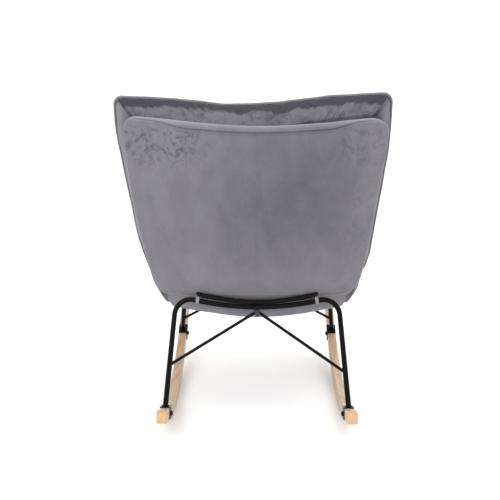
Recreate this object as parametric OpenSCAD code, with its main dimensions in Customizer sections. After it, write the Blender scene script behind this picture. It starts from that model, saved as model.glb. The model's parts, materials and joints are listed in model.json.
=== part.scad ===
// Rocking chair: a padded bucket seat on a black tube frame with two bent wooden rockers.
// The chair faces -Y, its back is towards +Y, and its sitter's left hand is at +X.
// Z = 0 is the floor. The origin is the middle of the bottom of its bounding box.

/* [Rockers] */
// Radius of the arc that a rocker rolls on
rocker_radius = 1000; // [900:10:1200]
// Distance between the middles of the two rockers
rocker_spacing = 510; // [480:5:560]
// Width of a rocker bar
rocker_width = 27; // [24:1:32]
// Height of a rocker bar
rocker_height = 36; // [30:1:42]
// Length of a rocker from nose to nose, seen from above
rocker_length = 860; // [800:10:900]
// Place along Y where the level chair touches the floor
rocker_contact_y = 69; // [40:1:110]

/* [Frame tubes] */
// Outer diameter of the leg tubes
tube_d = 15; // [14:0.5:16]
// Outer diameter of the seat ring's tube
ring_d = 13; // [12:0.5:14]
// Wall of the tubes
tube_wall = 1.5; // [1:0.1:2]
// Centreline radius of the bend above each leg
leg_bend_r = 46; // [40:1:50]
// Diameter of the brace rods
brace_d = 9; // [7:1:10]

/* [Seat] */
// Height of the top of the seat cushion along its middle
seat_top = 455; // [440:1:480]
// Width of the seat between the arms
seat_width = 480; // [460:5:484]
// Height of the arm's top at its front
arm_front_top = 525; // [505:5:545]

/* [Back] */
// Height of the middle of the rear shell's top edge
shell_top = 845; // [800:5:880]
// Thickness of the padded rear shell
shell_t = 35; // [28:1:38]
// Thickness of the moulded plywood inside the back
core_t = 9; // [6:1:10]
// Thickness of the back cushion
cushion_t = 78; // [60:1:90]
// How far the cushion's front edge stands above the shell
cushion_rise = 54; // [40:1:70]
// Diameter of the welt cord round the cushion's edge
piping_d = 8; // [6:0.5:9]

/* [Hidden] */
$fn = 48;

left = 1;
right = -1;
rocker_x = rocker_spacing / 2;
rocker_edge_r = 3;

// Foot brackets: a top plate on the rocker and a tab down the rocker's inner side
plate_t = 3;
plate_l = 43;
tab_h = 34;
plate_lift = 0.3;
foot_tilt_rear = asin((318 - rocker_contact_y) / (rocker_radius - rocker_height));
foot_tilt_front = asin((-280 - rocker_contact_y) / (rocker_radius - rocker_height));

// Rocker bolts, their heads and the threaded inserts that they screw into
bolt_d = 6;
bolt_drop = 17;
bolt_l = 20;
head_d = 14;
insert_d = 10;
insert_l = 17;

// Leg tubes: the corner above each leg, and the lowest point of the crossbar's bend
crossbar_bend_r = 700;
rear_corner = [230, 197, 356];
rear_middle = [0, 240, 316];
front_corner = [229, -154, 346];
front_middle = [0, -154, 316];

// Joints between the stretches of a bent tube
joint_lap = 0.5;
joint_step = 0.015;

// Seat ring: a tube that lies over the two crossbars, with its rear bar just over the rear one
ring_corner_r = 26;
ring_bend_r = 500;
ring_x = 168;
ring_z = 363;
ring_rear = [ring_x + 1, 209, ring_z];
ring_middle = [0, 231, 340];
ring_front_y = -176;

// Clips: a band round the crossbar and a saddle under the ring
clip_x = 168;
clip_l = 9;
clip_wall = 1.2;
clip_gap = 0.4;
clip_saddle_w = 8;
clip_saddle_h = 4;
clip_hold = 1;

// Braces: rods from a tab under each crossbar's middle out to the legs
brace_end_rear_left = 176;
brace_end_rear_right = 158;
brace_end_front = 146;
tab_size = [14, 9, 14];
brace_bolt_d = 5;

// Seat board and what fastens it to the ring
board_t = 12;
board_z = ring_z + ring_d / 2 + 0.1;
board_w = seat_width - 4;
board_front = -288;
board_rear = 118;
board_corner_r = 40;
lug_y = [-110, 60];
lug_in = 30;
seat_bolt_x = ring_x - 24;
seat_bolt_d = 6;
seat_bolt_head_d = 12;

// Seat cushion
cushion_gap = 1.5;
seat_front = -332;
seat_rear = 96;
seat_low = 350;

// Base pad: the soft belly under the seat board
base_top = 347;
base_front = -132;
base_front_low = 328;
base_rear_low = 286;
base_rear_rise = 20;
base_half = 237;

// Arms: padded sides that lean outwards
arm_front = -270;
arm_low = 318;
arm_board_t = 12;
arm_lean = 9;
arm_board_x = 256;
arm_screw_y = [-200, 40];
arm_screw_d = 5;
arm_screw_l = 70;
arm_screw_in = 32;
arm_board_foot = 20;
arm_board_outline = [[-240, 0], [66, 0], [84, 140], [-40, 140], [-240, 110]];
arm_pocket = 0.4;
// Half width of an arm's outer face at its foot, at its knee and at its top, with their heights
arm_foot_x = 268;
arm_knee_x = 306;
arm_knee_z = 400;
arm_flare = 41 / 170;
arm_nose_r = 60;

// Back brackets and their screws
bracket_x = 70;
bracket_t = 2;
bracket_reach = 150;
back_screw_d = 4;

// Back: every layer follows one upright cylinder that leans backwards
back_r = 712;
back_low = 348;
back_low_y = 215;
back_lean = 105;
back_bow = 12;
corner_r = 34;
hip_r = 34;
shell_half_low = 293;
shell_half_top = 360;
shell_corner_rise = 18;
core_off = shell_t + 4;
cushion_off = core_off + core_t + 1.5;
front_off = cushion_off + cushion_t;
cushion_corner_r = 22;

function unit(v) = v / norm(v);
function mix(a, b, t) = a + (b - a) * t;
// Eased position of step i out of n, so that points crowd towards both ends
function eased(i, n) = (1 - cos(180 * i / n)) / 2;
// How far a rounded corner of radius r cuts in at a distance d from its edge
function corner_cut(d, r) = d >= r ? 0 : r - sqrt(max(0, r * r - (r - d) * (r - d)));

// Places children with their X, Y and Z along three given directions
module framed(at, x, y, z) {
    multmatrix([
        [x[0], y[0], z[0], at[0]],
        [x[1], y[1], z[1], at[1]],
        [x[2], y[2], z[2], at[2]],
        [0, 0, 0, 1]
    ]) children();
}

// A round bar from p to q
module bar(p, q, d) {
    z = unit(q - p);
    x = unit(cross(abs(z[1]) < 0.9 ? [0, 1, 0] : [1, 0, 0], z));
    framed(p, x, cross(z, x), z) cylinder(h = norm(q - p), d = d);
}

// A straight tube of diameter d from p to q
module pipe(p, q, d) {
    z = unit(q - p);
    x = unit(cross(abs(z[1]) < 0.9 ? [0, 1, 0] : [1, 0, 0], z));
    framed(p, x, cross(z, x), z) linear_extrude(norm(q - p)) tube_section(d, joint_step);
}

function turn(p, i) = acos(unit(p[i] - p[i - 1]) * unit(p[i + 1] - p[i]));
function set_back(p, r, i) = i <= 0 || i >= len(p) - 1 ? 0 : r[i] * tan(turn(p, i) / 2);

// The section of a tube, with its wall grown by a hair on both faces
module tube_section(d, grow = 0) {
    difference() {
        circle(d = d + 2 * grow, $fn = 32);
        circle(d = d - 2 * tube_wall - 2 * grow, $fn = 32);
    }
}

// A tube of diameter d bent along the corners p, with the bend radius r[i] at corner i. Its
// straight stretches reach a little into the bends, so that the pieces join into one solid.
module bent_tube(p, r, d) {
    last = len(p) - 1;
    for (i = [1 : last]) {
        u = unit(p[i] - p[i - 1]);
        pipe(
            p[i - 1] + u * (set_back(p, r, i - 1) - (i == 1 ? 0 : joint_lap)),
            p[i] - u * (set_back(p, r, i) - (i == last ? 0 : joint_lap)),
            d
        );
    }
    for (i = [1 : last - 1]) bend(p, r, i) tube_section(d);
}

// The bend at corner i, with the child as its section
module bend(p, r, i) {
    u = unit(p[i] - p[i - 1]);
    w = unit(p[i + 1] - p[i]);
    n = unit(w - u * (u * w));
    start = p[i] - u * set_back(p, r, i);
    framed(start + n * r[i], -n, u, cross(-n, u))
        rotate_extrude(angle = turn(p, i), $fn = 96) translate([r[i], 0]) children();
}

// A closed solid between two grids of points that face each other
module pad(back, front) {
    rows = len(back);
    cols = len(back[0]);
    n = rows * cols;
    function at(i, j) = i * cols + j;
    skin = [for (i = [0 : rows - 2], j = [0 : cols - 2])
        each [[at(i, j), at(i, j + 1), at(i + 1, j + 1)], [at(i, j), at(i + 1, j + 1), at(i + 1, j)]]];
    rim = concat(
        [for (j = [0 : cols - 2]) at(0, j)],
        [for (i = [0 : rows - 2]) at(i, cols - 1)],
        [for (j = [cols - 1 : -1 : 1]) at(rows - 1, j)],
        [for (i = [rows - 1 : -1 : 1]) at(i, 0)]
    );
    m = len(rim);
    edge = [for (k = [0 : m - 1])
        let (a = rim[k], b = rim[(k + 1) % m])
        each [[b, a, a + n], [b, a + n, b + n]]];
    polyhedron(
        points = concat([for (row = back) each row], [for (row = front) each row]),
        faces = concat(skin, [for (f = skin) [f[2] + n, f[1] + n, f[0] + n]], edge)
    );
}

// A grid of points over the given rows: f(s, t) with s from -1 to 1 along each row
function row_grid(f, cols, rows) = [for (t = rows) [for (j = [0 : cols]) f(2 * eased(j, cols) - 1, t)]];

// A grid of points: f(s, t) with s from -1 to 1 along a row and t from 0 to 1 over the rows
function grid(f, cols, rows) =
    [for (i = [0 : rows]) [for (j = [0 : cols]) f(2 * eased(j, cols) - 1, eased(i, rows))]];

// ---- Rockers -------------------------------------------------------------

// Places children on a rocker's top surface, at an angle round the rocker's arc
module on_rocker(side, angle) {
    translate([side * rocker_x, rocker_contact_y, rocker_radius])
        rotate([angle, 0, 0])
            translate([0, 0, rocker_height - rocker_radius]) children();
}

function rocker_top(side, angle, lift) = [
    side * rocker_x,
    rocker_contact_y + (rocker_radius - rocker_height - lift) * sin(angle),
    rocker_radius - (rocker_radius - rocker_height - lift) * cos(angle)
];

function rocker_end(y) = asin((y - rocker_contact_y) / (rocker_radius - rocker_height / 2));

// The rounded section drawn from squares and circles, so that its faces stay true
module rocker_outline(grow = 0) {
    square([rocker_width - 2 * rocker_edge_r, rocker_height + 2 * grow], center = true);
    square([rocker_width + 2 * grow, rocker_height - 2 * rocker_edge_r], center = true);
    for (x = [-1, 1], z = [-1, 1])
        translate([x * (rocker_width / 2 - rocker_edge_r), z * (rocker_height / 2 - rocker_edge_r)])
            circle(r = rocker_edge_r + grow);
}

module rocker_bar() {
    nose = rocker_height / 2;
    rear = rocker_end(rocker_length / 2 - nose);
    front = rocker_end(nose - rocker_length / 2);
    lap = asin(joint_lap / rocker_radius);
    translate([0, rocker_contact_y, rocker_radius]) {
        // The arc, swept round an axis along X, reaching a little into the noses
        rotate([front - lap, 0, 0]) rotate([0, 90, 0])
            rotate_extrude(angle = rear - front + 2 * lap, $fn = 360)
                translate([rocker_radius - nose, 0]) rotate(90) rocker_outline();
        // The two half-round noses
        for (end = [[rear, 0], [front, 180]])
            rotate([end[0], 0, 0]) translate([0, 0, nose - rocker_radius]) rotate([0, 90, 0])
                rotate([0, 0, end[1]]) rotate_extrude(angle = 180) intersection() {
                    rotate(90) rocker_outline(joint_step);
                    translate([0, -rocker_width]) square([rocker_height, 2 * rocker_width]);
                }
    }
}

module rocker(side) {
    color([0.80, 0.66, 0.50]) difference() {
        translate([side * rocker_x, 0, 0]) rocker_bar();
        for (angle = [foot_tilt_rear, foot_tilt_front])
            on_rocker(side, angle) translate([-side * (rocker_width / 2 + 1), 0, -bolt_drop])
                rotate([0, side * 90, 0]) cylinder(h = insert_l + 3, d = insert_d);
    }
}

module rocker_left() rocker(left);
module rocker_right() rocker(right);

// ---- Legs and seat ring --------------------------------------------------

function mirrored(p) = [-p[0], p[1], p[2]];

module leg_tube(foot_angle, corner, middle) {
    foot = rocker_top(left, foot_angle, plate_lift + plate_t);
    under = foot - 12 * unit(corner - foot);
    path = [under, corner, middle, mirrored(corner), mirrored(under)];
    color([0.07, 0.07, 0.08]) difference() {
        bent_tube(path, [0, leg_bend_r, crossbar_bend_r, leg_bend_r, 0], tube_d);
        for (side = [left, right])
            on_rocker(side, foot_angle)
                translate([-30, -30, plate_lift + plate_t - 40]) cube([60, 60, 40]);
    }
}

// The middle of a crossbar, on its bend
function crossbar_middle(corner, middle) =
    let (chord = [0, corner[1], corner[2]] - middle, half = atan(norm(chord) / corner[0]))
    middle + unit(chord) * crossbar_bend_r * (1 / cos(half) - 1);

rear_bar = crossbar_middle(rear_corner, rear_middle);
front_bar = crossbar_middle(front_corner, front_middle);

module rear_leg_tube() leg_tube(foot_tilt_rear, rear_corner, rear_middle);
module front_leg_tube() leg_tube(foot_tilt_front, front_corner, front_middle);

ring_end = [ring_x, ring_front_y, ring_z];
ring_path = [ring_end, ring_rear, ring_middle, mirrored(ring_rear), mirrored(ring_end)];
ring_bends = [0, ring_corner_r, ring_bend_r, ring_corner_r, 0];

module seat_ring() {
    color([0.08, 0.08, 0.09]) bent_tube(ring_path, ring_bends, ring_d);
}

// ---- Foot brackets, bolts and inserts ------------------------------------

module foot_bracket(side, angle, corner) {
    foot = rocker_top(side, angle, plate_lift + plate_t);
    top = side == left ? corner : mirrored(corner);
    inner = rocker_width / 2 + plate_t;
    color([0.09, 0.09, 0.10]) {
        difference() {
            on_rocker(side, angle) union() {
                translate([side == left ? -inner : -rocker_width / 2, -plate_l / 2, plate_lift])
                    cube([rocker_width + plate_t, plate_l, plate_t]);
                translate([side == left ? -inner : inner - plate_t, -plate_l / 2, plate_lift])
                    translate([0, 0, plate_t - tab_h]) cube([plate_t, plate_l, tab_h]);
            }
            on_rocker(side, angle) translate([-side * (inner + 1), 0, -bolt_drop])
                rotate([0, side * 90, 0]) cylinder(h = plate_t + 2, d = bolt_d + 0.6);
        }
        // Weld bead round the foot of the tube
        difference() {
            on_rocker(side, angle) translate([0, 0, plate_lift + plate_t])
                rotate_extrude() translate([tube_d / 2 + 1.2, 0]) circle(r = 2.6, $fn = 24);
            on_rocker(side, angle) translate([-30, -30, plate_lift + plate_t - 10.01]) cube([60, 60, 10]);
            bar(foot - 12 * unit(top - foot), foot + 30 * unit(top - foot), tube_d);
        }
    }
}

module foot_bracket_rear_left() foot_bracket(left, foot_tilt_rear, rear_corner);
module foot_bracket_rear_right() foot_bracket(right, foot_tilt_rear, rear_corner);
module foot_bracket_front_left() foot_bracket(left, foot_tilt_front, front_corner);
module foot_bracket_front_right() foot_bracket(right, foot_tilt_front, front_corner);

// Places children at each rocker bolt, with Z along the bolt into the rocker
module at_rocker_bolts() {
    for (side = [left, right], angle = [foot_tilt_rear, foot_tilt_front])
        on_rocker(side, angle) translate([-side * (rocker_width / 2 + plate_t), 0, -bolt_drop])
            rotate([0, side * 90, 0]) children();
}

module rocker_bolts() {
    color([0.10, 0.10, 0.11]) at_rocker_bolts() {
        cylinder(h = bolt_l, d = bolt_d);
        // Low round head
        intersection() {
            translate([0, 0, 3.2]) sphere(d = head_d + 3);
            translate([0, 0, -4.5]) cylinder(h = 4.5, d = head_d);
        }
    }
}

module rocker_inserts() {
    color([0.75, 0.62, 0.32]) at_rocker_bolts() translate([0, 0, plate_t])
        difference() {
            cylinder(h = insert_l, d = insert_d);
            translate([0, 0, -1]) cylinder(h = insert_l + 2, d = bolt_d);
        }
}

// ---- Braces --------------------------------------------------------------

// The point on a leg's centreline at height z
function leg_point(foot_angle, corner, z) =
    let (foot = rocker_top(left, foot_angle, plate_lift + plate_t))
    foot + (corner - foot) * (z - foot[2]) / (corner[2] - foot[2]);

// A rod from the tab under a crossbar's middle to a leg, cut to fit both
module brace(side, foot_angle, corner, bar_middle, z) {
    tab_top = bar_middle[2] - tube_d / 2;
    end = leg_point(foot_angle, corner, z);
    foot = rocker_top(left, foot_angle, plate_lift + plate_t);
    start = [0, bar_middle[1], tab_top - brace_d / 2 - 0.5];
    color([0.07, 0.07, 0.08]) mirror([side == left ? 0 : 1, 0, 0]) difference() {
        bar(start, end, brace_d);
        bar(foot, corner, tube_d + 2 * joint_step);
        translate([-tab_size[0] / 2, bar_middle[1] - 20, tab_top - 40]) cube([tab_size[0], 40, 60]);
    }
}

module rear_brace_left() brace(left, foot_tilt_rear, rear_corner, rear_bar, brace_end_rear_left);
module rear_brace_right() brace(right, foot_tilt_rear, rear_corner, rear_bar, brace_end_rear_right);
module front_brace_left() brace(left, foot_tilt_front, front_corner, front_bar, brace_end_front);
module front_brace_right() brace(right, foot_tilt_front, front_corner, front_bar, brace_end_front);

// Places children at the bottom of the tab under each crossbar's middle
module under_tab(bar_middle) {
    translate([0, bar_middle[1], bar_middle[2] - tube_d / 2 - tab_size[2]]) children();
}

module brace_tab(bar_middle) {
    color([0.30, 0.30, 0.32]) under_tab(bar_middle) difference() {
        translate([-tab_size[0] / 2, -tab_size[1] / 2, 0]) cube(tab_size);
        translate([0, 0, -1]) cylinder(h = 9, d = brace_bolt_d);
    }
}

module rear_brace_tab() brace_tab(rear_bar);
module front_brace_tab() brace_tab(front_bar);

module brace_bolts() {
    color([0.12, 0.12, 0.13]) for (place = [rear_bar, front_bar]) under_tab(place) {
        translate([0, 0, -7]) cylinder(h = 14, d = brace_bolt_d);
        // Nut
        translate([0, 0, -4.2]) cylinder(h = 4, d = 9, $fn = 6);
    }
}

// ---- Seat ring clips -----------------------------------------------------

// The point at x on a crossbar's straight stretch, and on the ring's rear bar
function crossbar_at(corner, middle, x) = mix(middle, corner, x / corner[0]);
function ring_at(x) = mix(ring_middle, ring_rear, x / ring_rear[0]);

// A grey saddle that wraps a crossbar and holds the seat ring on it
module ring_clip(side, at_cross, at_ring, along) {
    color([0.62, 0.60, 0.56]) mirror([side == left ? 0 : 1, 0, 0]) difference() {
        hull() {
            bar(at_cross - along * clip_l / 2, at_cross + along * clip_l / 2, tube_d + 2 * clip_wall);
            translate(at_ring - [0, 0, (ring_d + clip_saddle_h) / 2 - clip_hold])
                cube([clip_l, clip_saddle_w, clip_saddle_h], center = true);
        }
        children();
    }
}

module ring_clip_rear(side) {
    at_cross = crossbar_at(rear_corner, rear_middle, clip_x);
    ring_clip(side, at_cross, ring_at(clip_x), unit(rear_corner - rear_middle)) {
        bar(rear_middle, rear_corner, tube_d + 2 * joint_step);
        bend(ring_path, ring_bends, 1) circle(d = ring_d + clip_gap, $fn = 32);
    }
}

module ring_clip_rear_left() ring_clip_rear(left);
module ring_clip_rear_right() ring_clip_rear(right);

module ring_clip_front(side) {
    at_cross = crossbar_at(front_corner, front_middle, clip_x);
    ring_clip(side, at_cross, [clip_x, at_cross[1], ring_z], unit(front_corner - front_middle)) {
        bar(front_middle, front_corner, tube_d + 2 * joint_step);
        bar(ring_end, ring_rear, ring_d + clip_gap);
    }
}

module ring_clip_front_left() ring_clip_front(left);
module ring_clip_front_right() ring_clip_front(right);

// ---- Seat board and its fixings ------------------------------------------

// Places children over each seat lug, at the ring's rail
module at_lugs() {
    for (side = [left, right], y = lug_y) translate([side * ring_x, y, 0])
        mirror([side == left ? 0 : 1, 0, 0]) children();
}

module seat_lugs() {
    color([0.12, 0.12, 0.13]) at_lugs() difference() {
        translate([-ring_d / 2 - lug_in, -14, board_z - 3.2]) cube([lug_in, 28, 3]);
        translate([seat_bolt_x - ring_x, 0, board_z - 10]) cylinder(h = 20, d = seat_bolt_d + 0.6);
        // The lug's edge is notched round the rail that it is welded to
        rotate([90, 0, 0]) translate([0, ring_z, -20]) cylinder(h = 40, d = ring_d + 0.02);
    }
}

module seat_bolts() {
    color([0.70, 0.70, 0.72]) at_lugs() translate([seat_bolt_x - ring_x, 0, 0]) {
        translate([0, 0, board_z - 3.2]) cylinder(h = board_t + 2, d = seat_bolt_d);
        translate([0, 0, board_z - 7.2]) cylinder(h = 4, d = seat_bolt_head_d);
    }
}

module seat_nuts() {
    color([0.72, 0.72, 0.74]) at_lugs() translate([seat_bolt_x - ring_x, 0, board_z + 2])
        difference() {
            cylinder(h = board_t - 2, d = 9);
            translate([0, 0, -1]) cylinder(h = board_t + 2, d = seat_bolt_d);
        }
}

// A point at the angle a round the board's rounded front corner at the given side
function board_corner(a, side) = [
    side * (board_w / 2 - board_corner_r) + board_corner_r * cos(a),
    board_front + board_corner_r + board_corner_r * sin(a)
];

module seat_board() {
    color([0.78, 0.66, 0.48]) difference() {
        translate([0, 0, board_z]) linear_extrude(board_t) polygon([
            [board_w / 2, board_rear], [-board_w / 2, board_rear],
            for (a = [180 : 15 : 270]) board_corner(a, -1),
            for (a = [270 : 15 : 360]) board_corner(a, 1)
        ]);
        at_lugs() translate([seat_bolt_x - ring_x, 0, board_z - 1]) {
            cylinder(h = board_t + 2, d = seat_bolt_d);
            translate([0, 0, 3]) cylinder(h = board_t, d = 9);
        }
        at_arm_screws() cylinder(h = arm_screw_l, d = arm_screw_d);
        at_back_screws() cylinder(h = 7, d = back_screw_d);
    }
}

// ---- Soft seat -----------------------------------------------------------

// The base pad's rear edge at x, which follows the shell's curve
function base_rear(x) = back_low_y - 4 - back_r + sqrt(back_r * back_r - x * x);
function base_bottom(x, t) =
    mix(base_front_low, base_rear_low + base_rear_rise * pow(abs(x) / base_half, 1.5), t);

module seat_base_pad() {
    function low(s, t) =
        let (x = base_half * s, y = mix(base_front, base_rear(x) - 6 * (1 - t), t),
            round = max(pow(abs(s), 8), pow(abs(2 * t - 1), 12)))
        [x, y, mix(base_bottom(x, t), base_top - 6, 0.8 * round)];
    function high(s, t) =
        let (p = low(s, t)) [p[0], p[1], base_top];
    color([0.46, 0.45, 0.48]) pad(
        grid(function(s, t) high(s, t), 14, 12),
        grid(function(s, t) low(s, t), 14, 12)
    );
}

module seat_cushion() {
    half = seat_width / 2;
    function rear(x) = seat_rear - (back_r - front_off) * (1 - sqrt(1 - pow(x / back_r, 2)));
    function low(s, t) =
        let (x = (half - 1) * s, y = mix(seat_front + 5, rear(x), t),
            z = t < 0.08 ? seat_low : board_z + board_t + cushion_gap)
        [x, y, z];
    function high(s, t) =
        let (x = (half - 1) * s, y = mix(seat_front, rear(x), t),
            edge = max(pow(abs(s), 9), pow(abs(2 * t - 1), 14)))
        [x * (1 - 0.012 * edge), y, seat_top - 12 * s * s - 14 * t - 22 * edge];
    rows = concat([0, 0.02, 0.045, 0.077, 0.085, 0.13], [for (i = [2 : 12]) i / 12]);
    color([0.46, 0.45, 0.48]) pad(
        row_grid(function(s, t) low(s, t), 14, rows),
        row_grid(function(s, t) high(s, t), 14, rows)
    );
}

// ---- Arms ----------------------------------------------------------------

function back_k(z) = (z - back_low) / (shell_top - back_low);
function back_y(z) = let (k = back_k(z)) back_low_y + back_lean * k + 4 * back_bow * k * (1 - k);

// Half width of the shell at height z, before its corners are rounded
function shell_half(z) = mix(shell_half_top, shell_half_low, pow(1 - max(0, min(1, back_k(z))), 2));

// Outer and inner faces of an arm at height z
function arm_out(z) = z < arm_knee_z
    ? mix(arm_foot_x, arm_knee_x, sqrt(max(0, z - arm_low) / (arm_knee_z - arm_low)))
    : arm_knee_x + arm_flare * (z - arm_knee_z);
function arm_in(z) = seat_width / 2 + 2 + 0.1 * max(0, z - 380);
function arm_top(y) = arm_front_top + 50 * pow(max(0, y - arm_front) / 440, 1.2);
// The front face of the shell at x, which the arm's rear end stays clear of
function behind_arm(x, z) = back_y(z) - back_r + sqrt(pow(back_r - shell_t, 2) - x * x) - 2;

module arm_solid() {
    function y_at(s, x, z) = mix(arm_front, behind_arm(x, z), (s + 1) / 2);
    function shape(s, t, face) =
        let (y0 = mix(arm_front, 150, (s + 1) / 2),
            front = corner_cut(y0 - arm_front, arm_nose_r),
            z = mix(arm_low + front * 0.5, arm_top(y0) - front, t),
            edge = max(pow(abs(2 * t - 1), 10), s < 0 ? pow(-s, 16) : 0),
            middle = (arm_out(z) + arm_in(z)) / 2,
            x = mix(face > 0 ? arm_out(z) : arm_in(z), middle, 0.7 * edge))
        [x, y_at(s, x, z), z];
    pad(grid(function(s, t) shape(s, t, 1), 12, 12), grid(function(s, t) shape(s, t, -1), 12, 12));
}

// Plywood side inside an arm, leaning outwards with it, and grown by a hair to cut its pocket
module arm_board(side, grow = 0) {
    color([0.78, 0.66, 0.48]) difference() {
        mirror([side == left ? 0 : 1, 0, 0])
            translate([arm_board_x - grow, 0, arm_low + arm_board_foot]) rotate([0, arm_lean, 0])
                rotate([90, 0, 90]) linear_extrude(arm_board_t + 2 * grow)
                    polygon([for (p = arm_board_outline) p + grow * [sign(p[0]), sign(p[1] - 60)]]);
        if (grow == 0) at_arm_screws() cylinder(h = arm_screw_l + 10, d = arm_screw_d);
    }
}

// Places children at each arm screw, with Z pointing outwards along the screw
module at_arm_screws() {
    for (side = [left, right], y = arm_screw_y)
        translate([side * (board_w / 2 - arm_screw_in), y, board_z + board_t / 2])
            rotate([0, side * 90, 0]) children();
}

module arm(side) {
    color([0.46, 0.45, 0.48]) difference() {
        mirror([side == left ? 0 : 1, 0, 0]) arm_solid();
        arm_board(side, arm_pocket);
        at_arm_screws() cylinder(h = arm_screw_l, d = arm_screw_d + 0.6);
    }
}

module arm_left() arm(left);
module arm_right() arm(right);
module arm_board_left() arm_board(left);
module arm_board_right() arm_board(right);

module arm_screws() {
    color([0.72, 0.72, 0.74]) at_arm_screws() cylinder(h = arm_screw_l, d = arm_screw_d);
}

// ---- Back ----------------------------------------------------------------

// A point of the back's cylinder, at the offset off in front of the shell's rear face
function back_point(x, z, off) = [
    x * (back_r - off) / back_r,
    back_y(z) - back_r + (back_r - off) * sqrt(1 - pow(x / back_r, 2)),
    z
];

// Height of the shell's top edge, which rises towards both corners
function shell_top_at(s) = shell_top + shell_corner_rise * s * s;

module back_shell() {
    function shape(s, t, face) =
        let (z = mix(back_low, shell_top_at(s), t),
            cut = corner_cut(z - back_low, hip_r) + corner_cut(shell_top_at(1) - z, corner_r),
            x = s * (shell_half(z) - (abs(s) > 0.5 ? cut * (2 * abs(s) - 1) : 0)),
            edge = max(pow(abs(s), 14), pow(abs(2 * t - 1), 16)),
            off = shell_t / 2 + face * shell_t / 2 * sqrt(1 - 0.97 * edge))
        back_point(x, z, off);
    color([0.46, 0.45, 0.48]) difference() {
        pad(grid(function(s, t) shape(s, t, -1), 20, 16), grid(function(s, t) shape(s, t, 1), 20, 16));
        // Notches where the seat ring's rails go in
        for (side = [left, right])
            translate([side * ring_x - 11, 120, back_low - 10]) cube([22, 100, ring_z + 10 - back_low + 10]);
    }
}

module back_core() {
    low = board_z + 6;
    high = shell_top - 22;
    function shape(s, t, off) =
        let (z = mix(low, high, t), cut = corner_cut(z - low, 40) + corner_cut(high - z, 40),
            full = z < 590 ? arm_in(z) - 14 : shell_half(z) - 26)
        back_point(s * (min(full, 235 + 0.9 * max(0, z - 560)) - cut), z, off);
    color([0.78, 0.66, 0.48]) difference() {
        pad(
            grid(function(s, t) shape(s, t, core_off), 14, 14),
            grid(function(s, t) shape(s, t, core_off + core_t), 14, 14)
        );
        at_back_screws() translate([0, 0, -2]) cylinder(h = 9, d = back_screw_d);
    }
}

// Lowest point of the back cushion, and the height where it spreads out over the arms
cushion_low = board_z + board_t + 8;
over_arm_z = 582;
over_arm_step = 14;
function over_arm(z) = max(0, min(1, (z - over_arm_z) / over_arm_step));

// Half width of the cushion's front edge: between the arms low down, over them higher up
function cushion_half(z) = mix(arm_in(z) - 3, shell_half(z) + 11 + 12 * max(0, min(1, (z - 600) / 250)),
    over_arm(z));

function cushion_point(s, z, top, grow = 0) =
    let (cut = corner_cut(top + grow - z, cushion_corner_r) * max(0, 2 * abs(s) - 1),
        x = s * (cushion_half(z) + grow - cut))
    [x, back_y(min(z, shell_top)) + 0.2 * max(0, z - shell_top) - back_r
        + (back_r - front_off) * sqrt(1 - pow(x / back_r, 2)), z];

function cushion_top(s) = shell_top + cushion_rise + shell_corner_rise * s * s;

// Rows of the back cushion, as shares of its height, close together over the arms
function cushion_rows() =
    let (step = (over_arm_z - cushion_low) / (cushion_top(0) - cushion_low),
        wide = over_arm_step / (cushion_top(0) - cushion_low))
    concat([for (i = [0 : 8]) step * eased(i, 16) * 2], [step * 0.99, step + wide],
        [for (i = [1 : 14]) mix(step + wide, 1, sin(90 * i / 14))]);

module back_cushion() {
    function rear(s, t) =
        let (z = mix(cushion_low, shell_top_at(s) - 4, t),
            half = mix(arm_in(z) - 4, shell_half(z) - 10, over_arm(z)),
            cut = corner_cut(shell_top + 14 - z, corner_r) * max(0, 2 * abs(s) - 1))
        back_point(s * (half - cut), z, cushion_off);
    function front(s, t) =
        let (p = cushion_point(s, mix(cushion_low, cushion_top(s), t), cushion_top(s)),
            crown = 16 * (1 - pow(s, 4)) * (1 - pow(2 * t - 1, 4)))
        p - [0, crown, 0];
    color([0.46, 0.45, 0.48]) pad(
        row_grid(function(s, t) rear(s, t), 20, cushion_rows()),
        row_grid(function(s, t) front(s, t), 20, cushion_rows())
    );
}

// Welt cord along the cushion's top and side edges, from arm to arm
module edge_piping() {
    grow = piping_d / 2 + 0.4;
    low = over_arm_z + over_arm_step + 10;
    function edge_point(s, z) = cushion_point(s, z, cushion_top(s), grow);
    side = [for (i = [0 : 14]) mix(low, cushion_top(1) + grow, sin(90 * i / 14))];
    path = concat(
        [for (z = side) edge_point(1, z)],
        [for (i = [1 : 19]) let (s = 1 - 2 * eased(i, 20)) edge_point(s, cushion_top(s) + grow)],
        [for (i = [14 : -1 : 0]) edge_point(-1, side[i])]
    );
    n = len(path);
    function along(i) = unit(path[min(n - 1, i + 1)] - path[max(0, i - 1)]);
    rings = [for (i = [0 : n - 1])
        let (t = along(i), u = unit(cross(t, [0, 1, 0])), w = cross(t, u))
        [for (a = [0 : 45 : 315]) path[i] + piping_d / 2 * (cos(a) * u + sin(a) * w)]];
    color([0.50, 0.49, 0.52]) polyhedron(
        points = [for (r = rings) each r],
        faces = concat(
            [for (i = [0 : n - 2], j = [0 : 7])
                [8 * i + j, 8 * i + (j + 1) % 8, 8 * i + 8 + (j + 1) % 8, 8 * i + 8 + j]],
            [[for (j = [7 : -1 : 0]) j]],
            [[for (j = [0 : 7]) 8 * (n - 1) + j]]
        )
    );
}

// Places children at each back bracket, with X across it, Y forwards and Z up, and with the
// shell's rear face at Y = 0 at the height of the shell's lower edge
module at_back_brackets() {
    for (side = [left, right])
        translate([0, back_low_y - back_r, 0]) rotate([0, 0, -side * asin(bracket_x / back_r)])
            translate([0, back_r, 0]) rotate([0, 0, 180]) children();
}

// Distance in front of the shell's rear face at its foot, for a layer at height z
function layer_y(z, off) = off - (back_y(z) - back_low_y);

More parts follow.
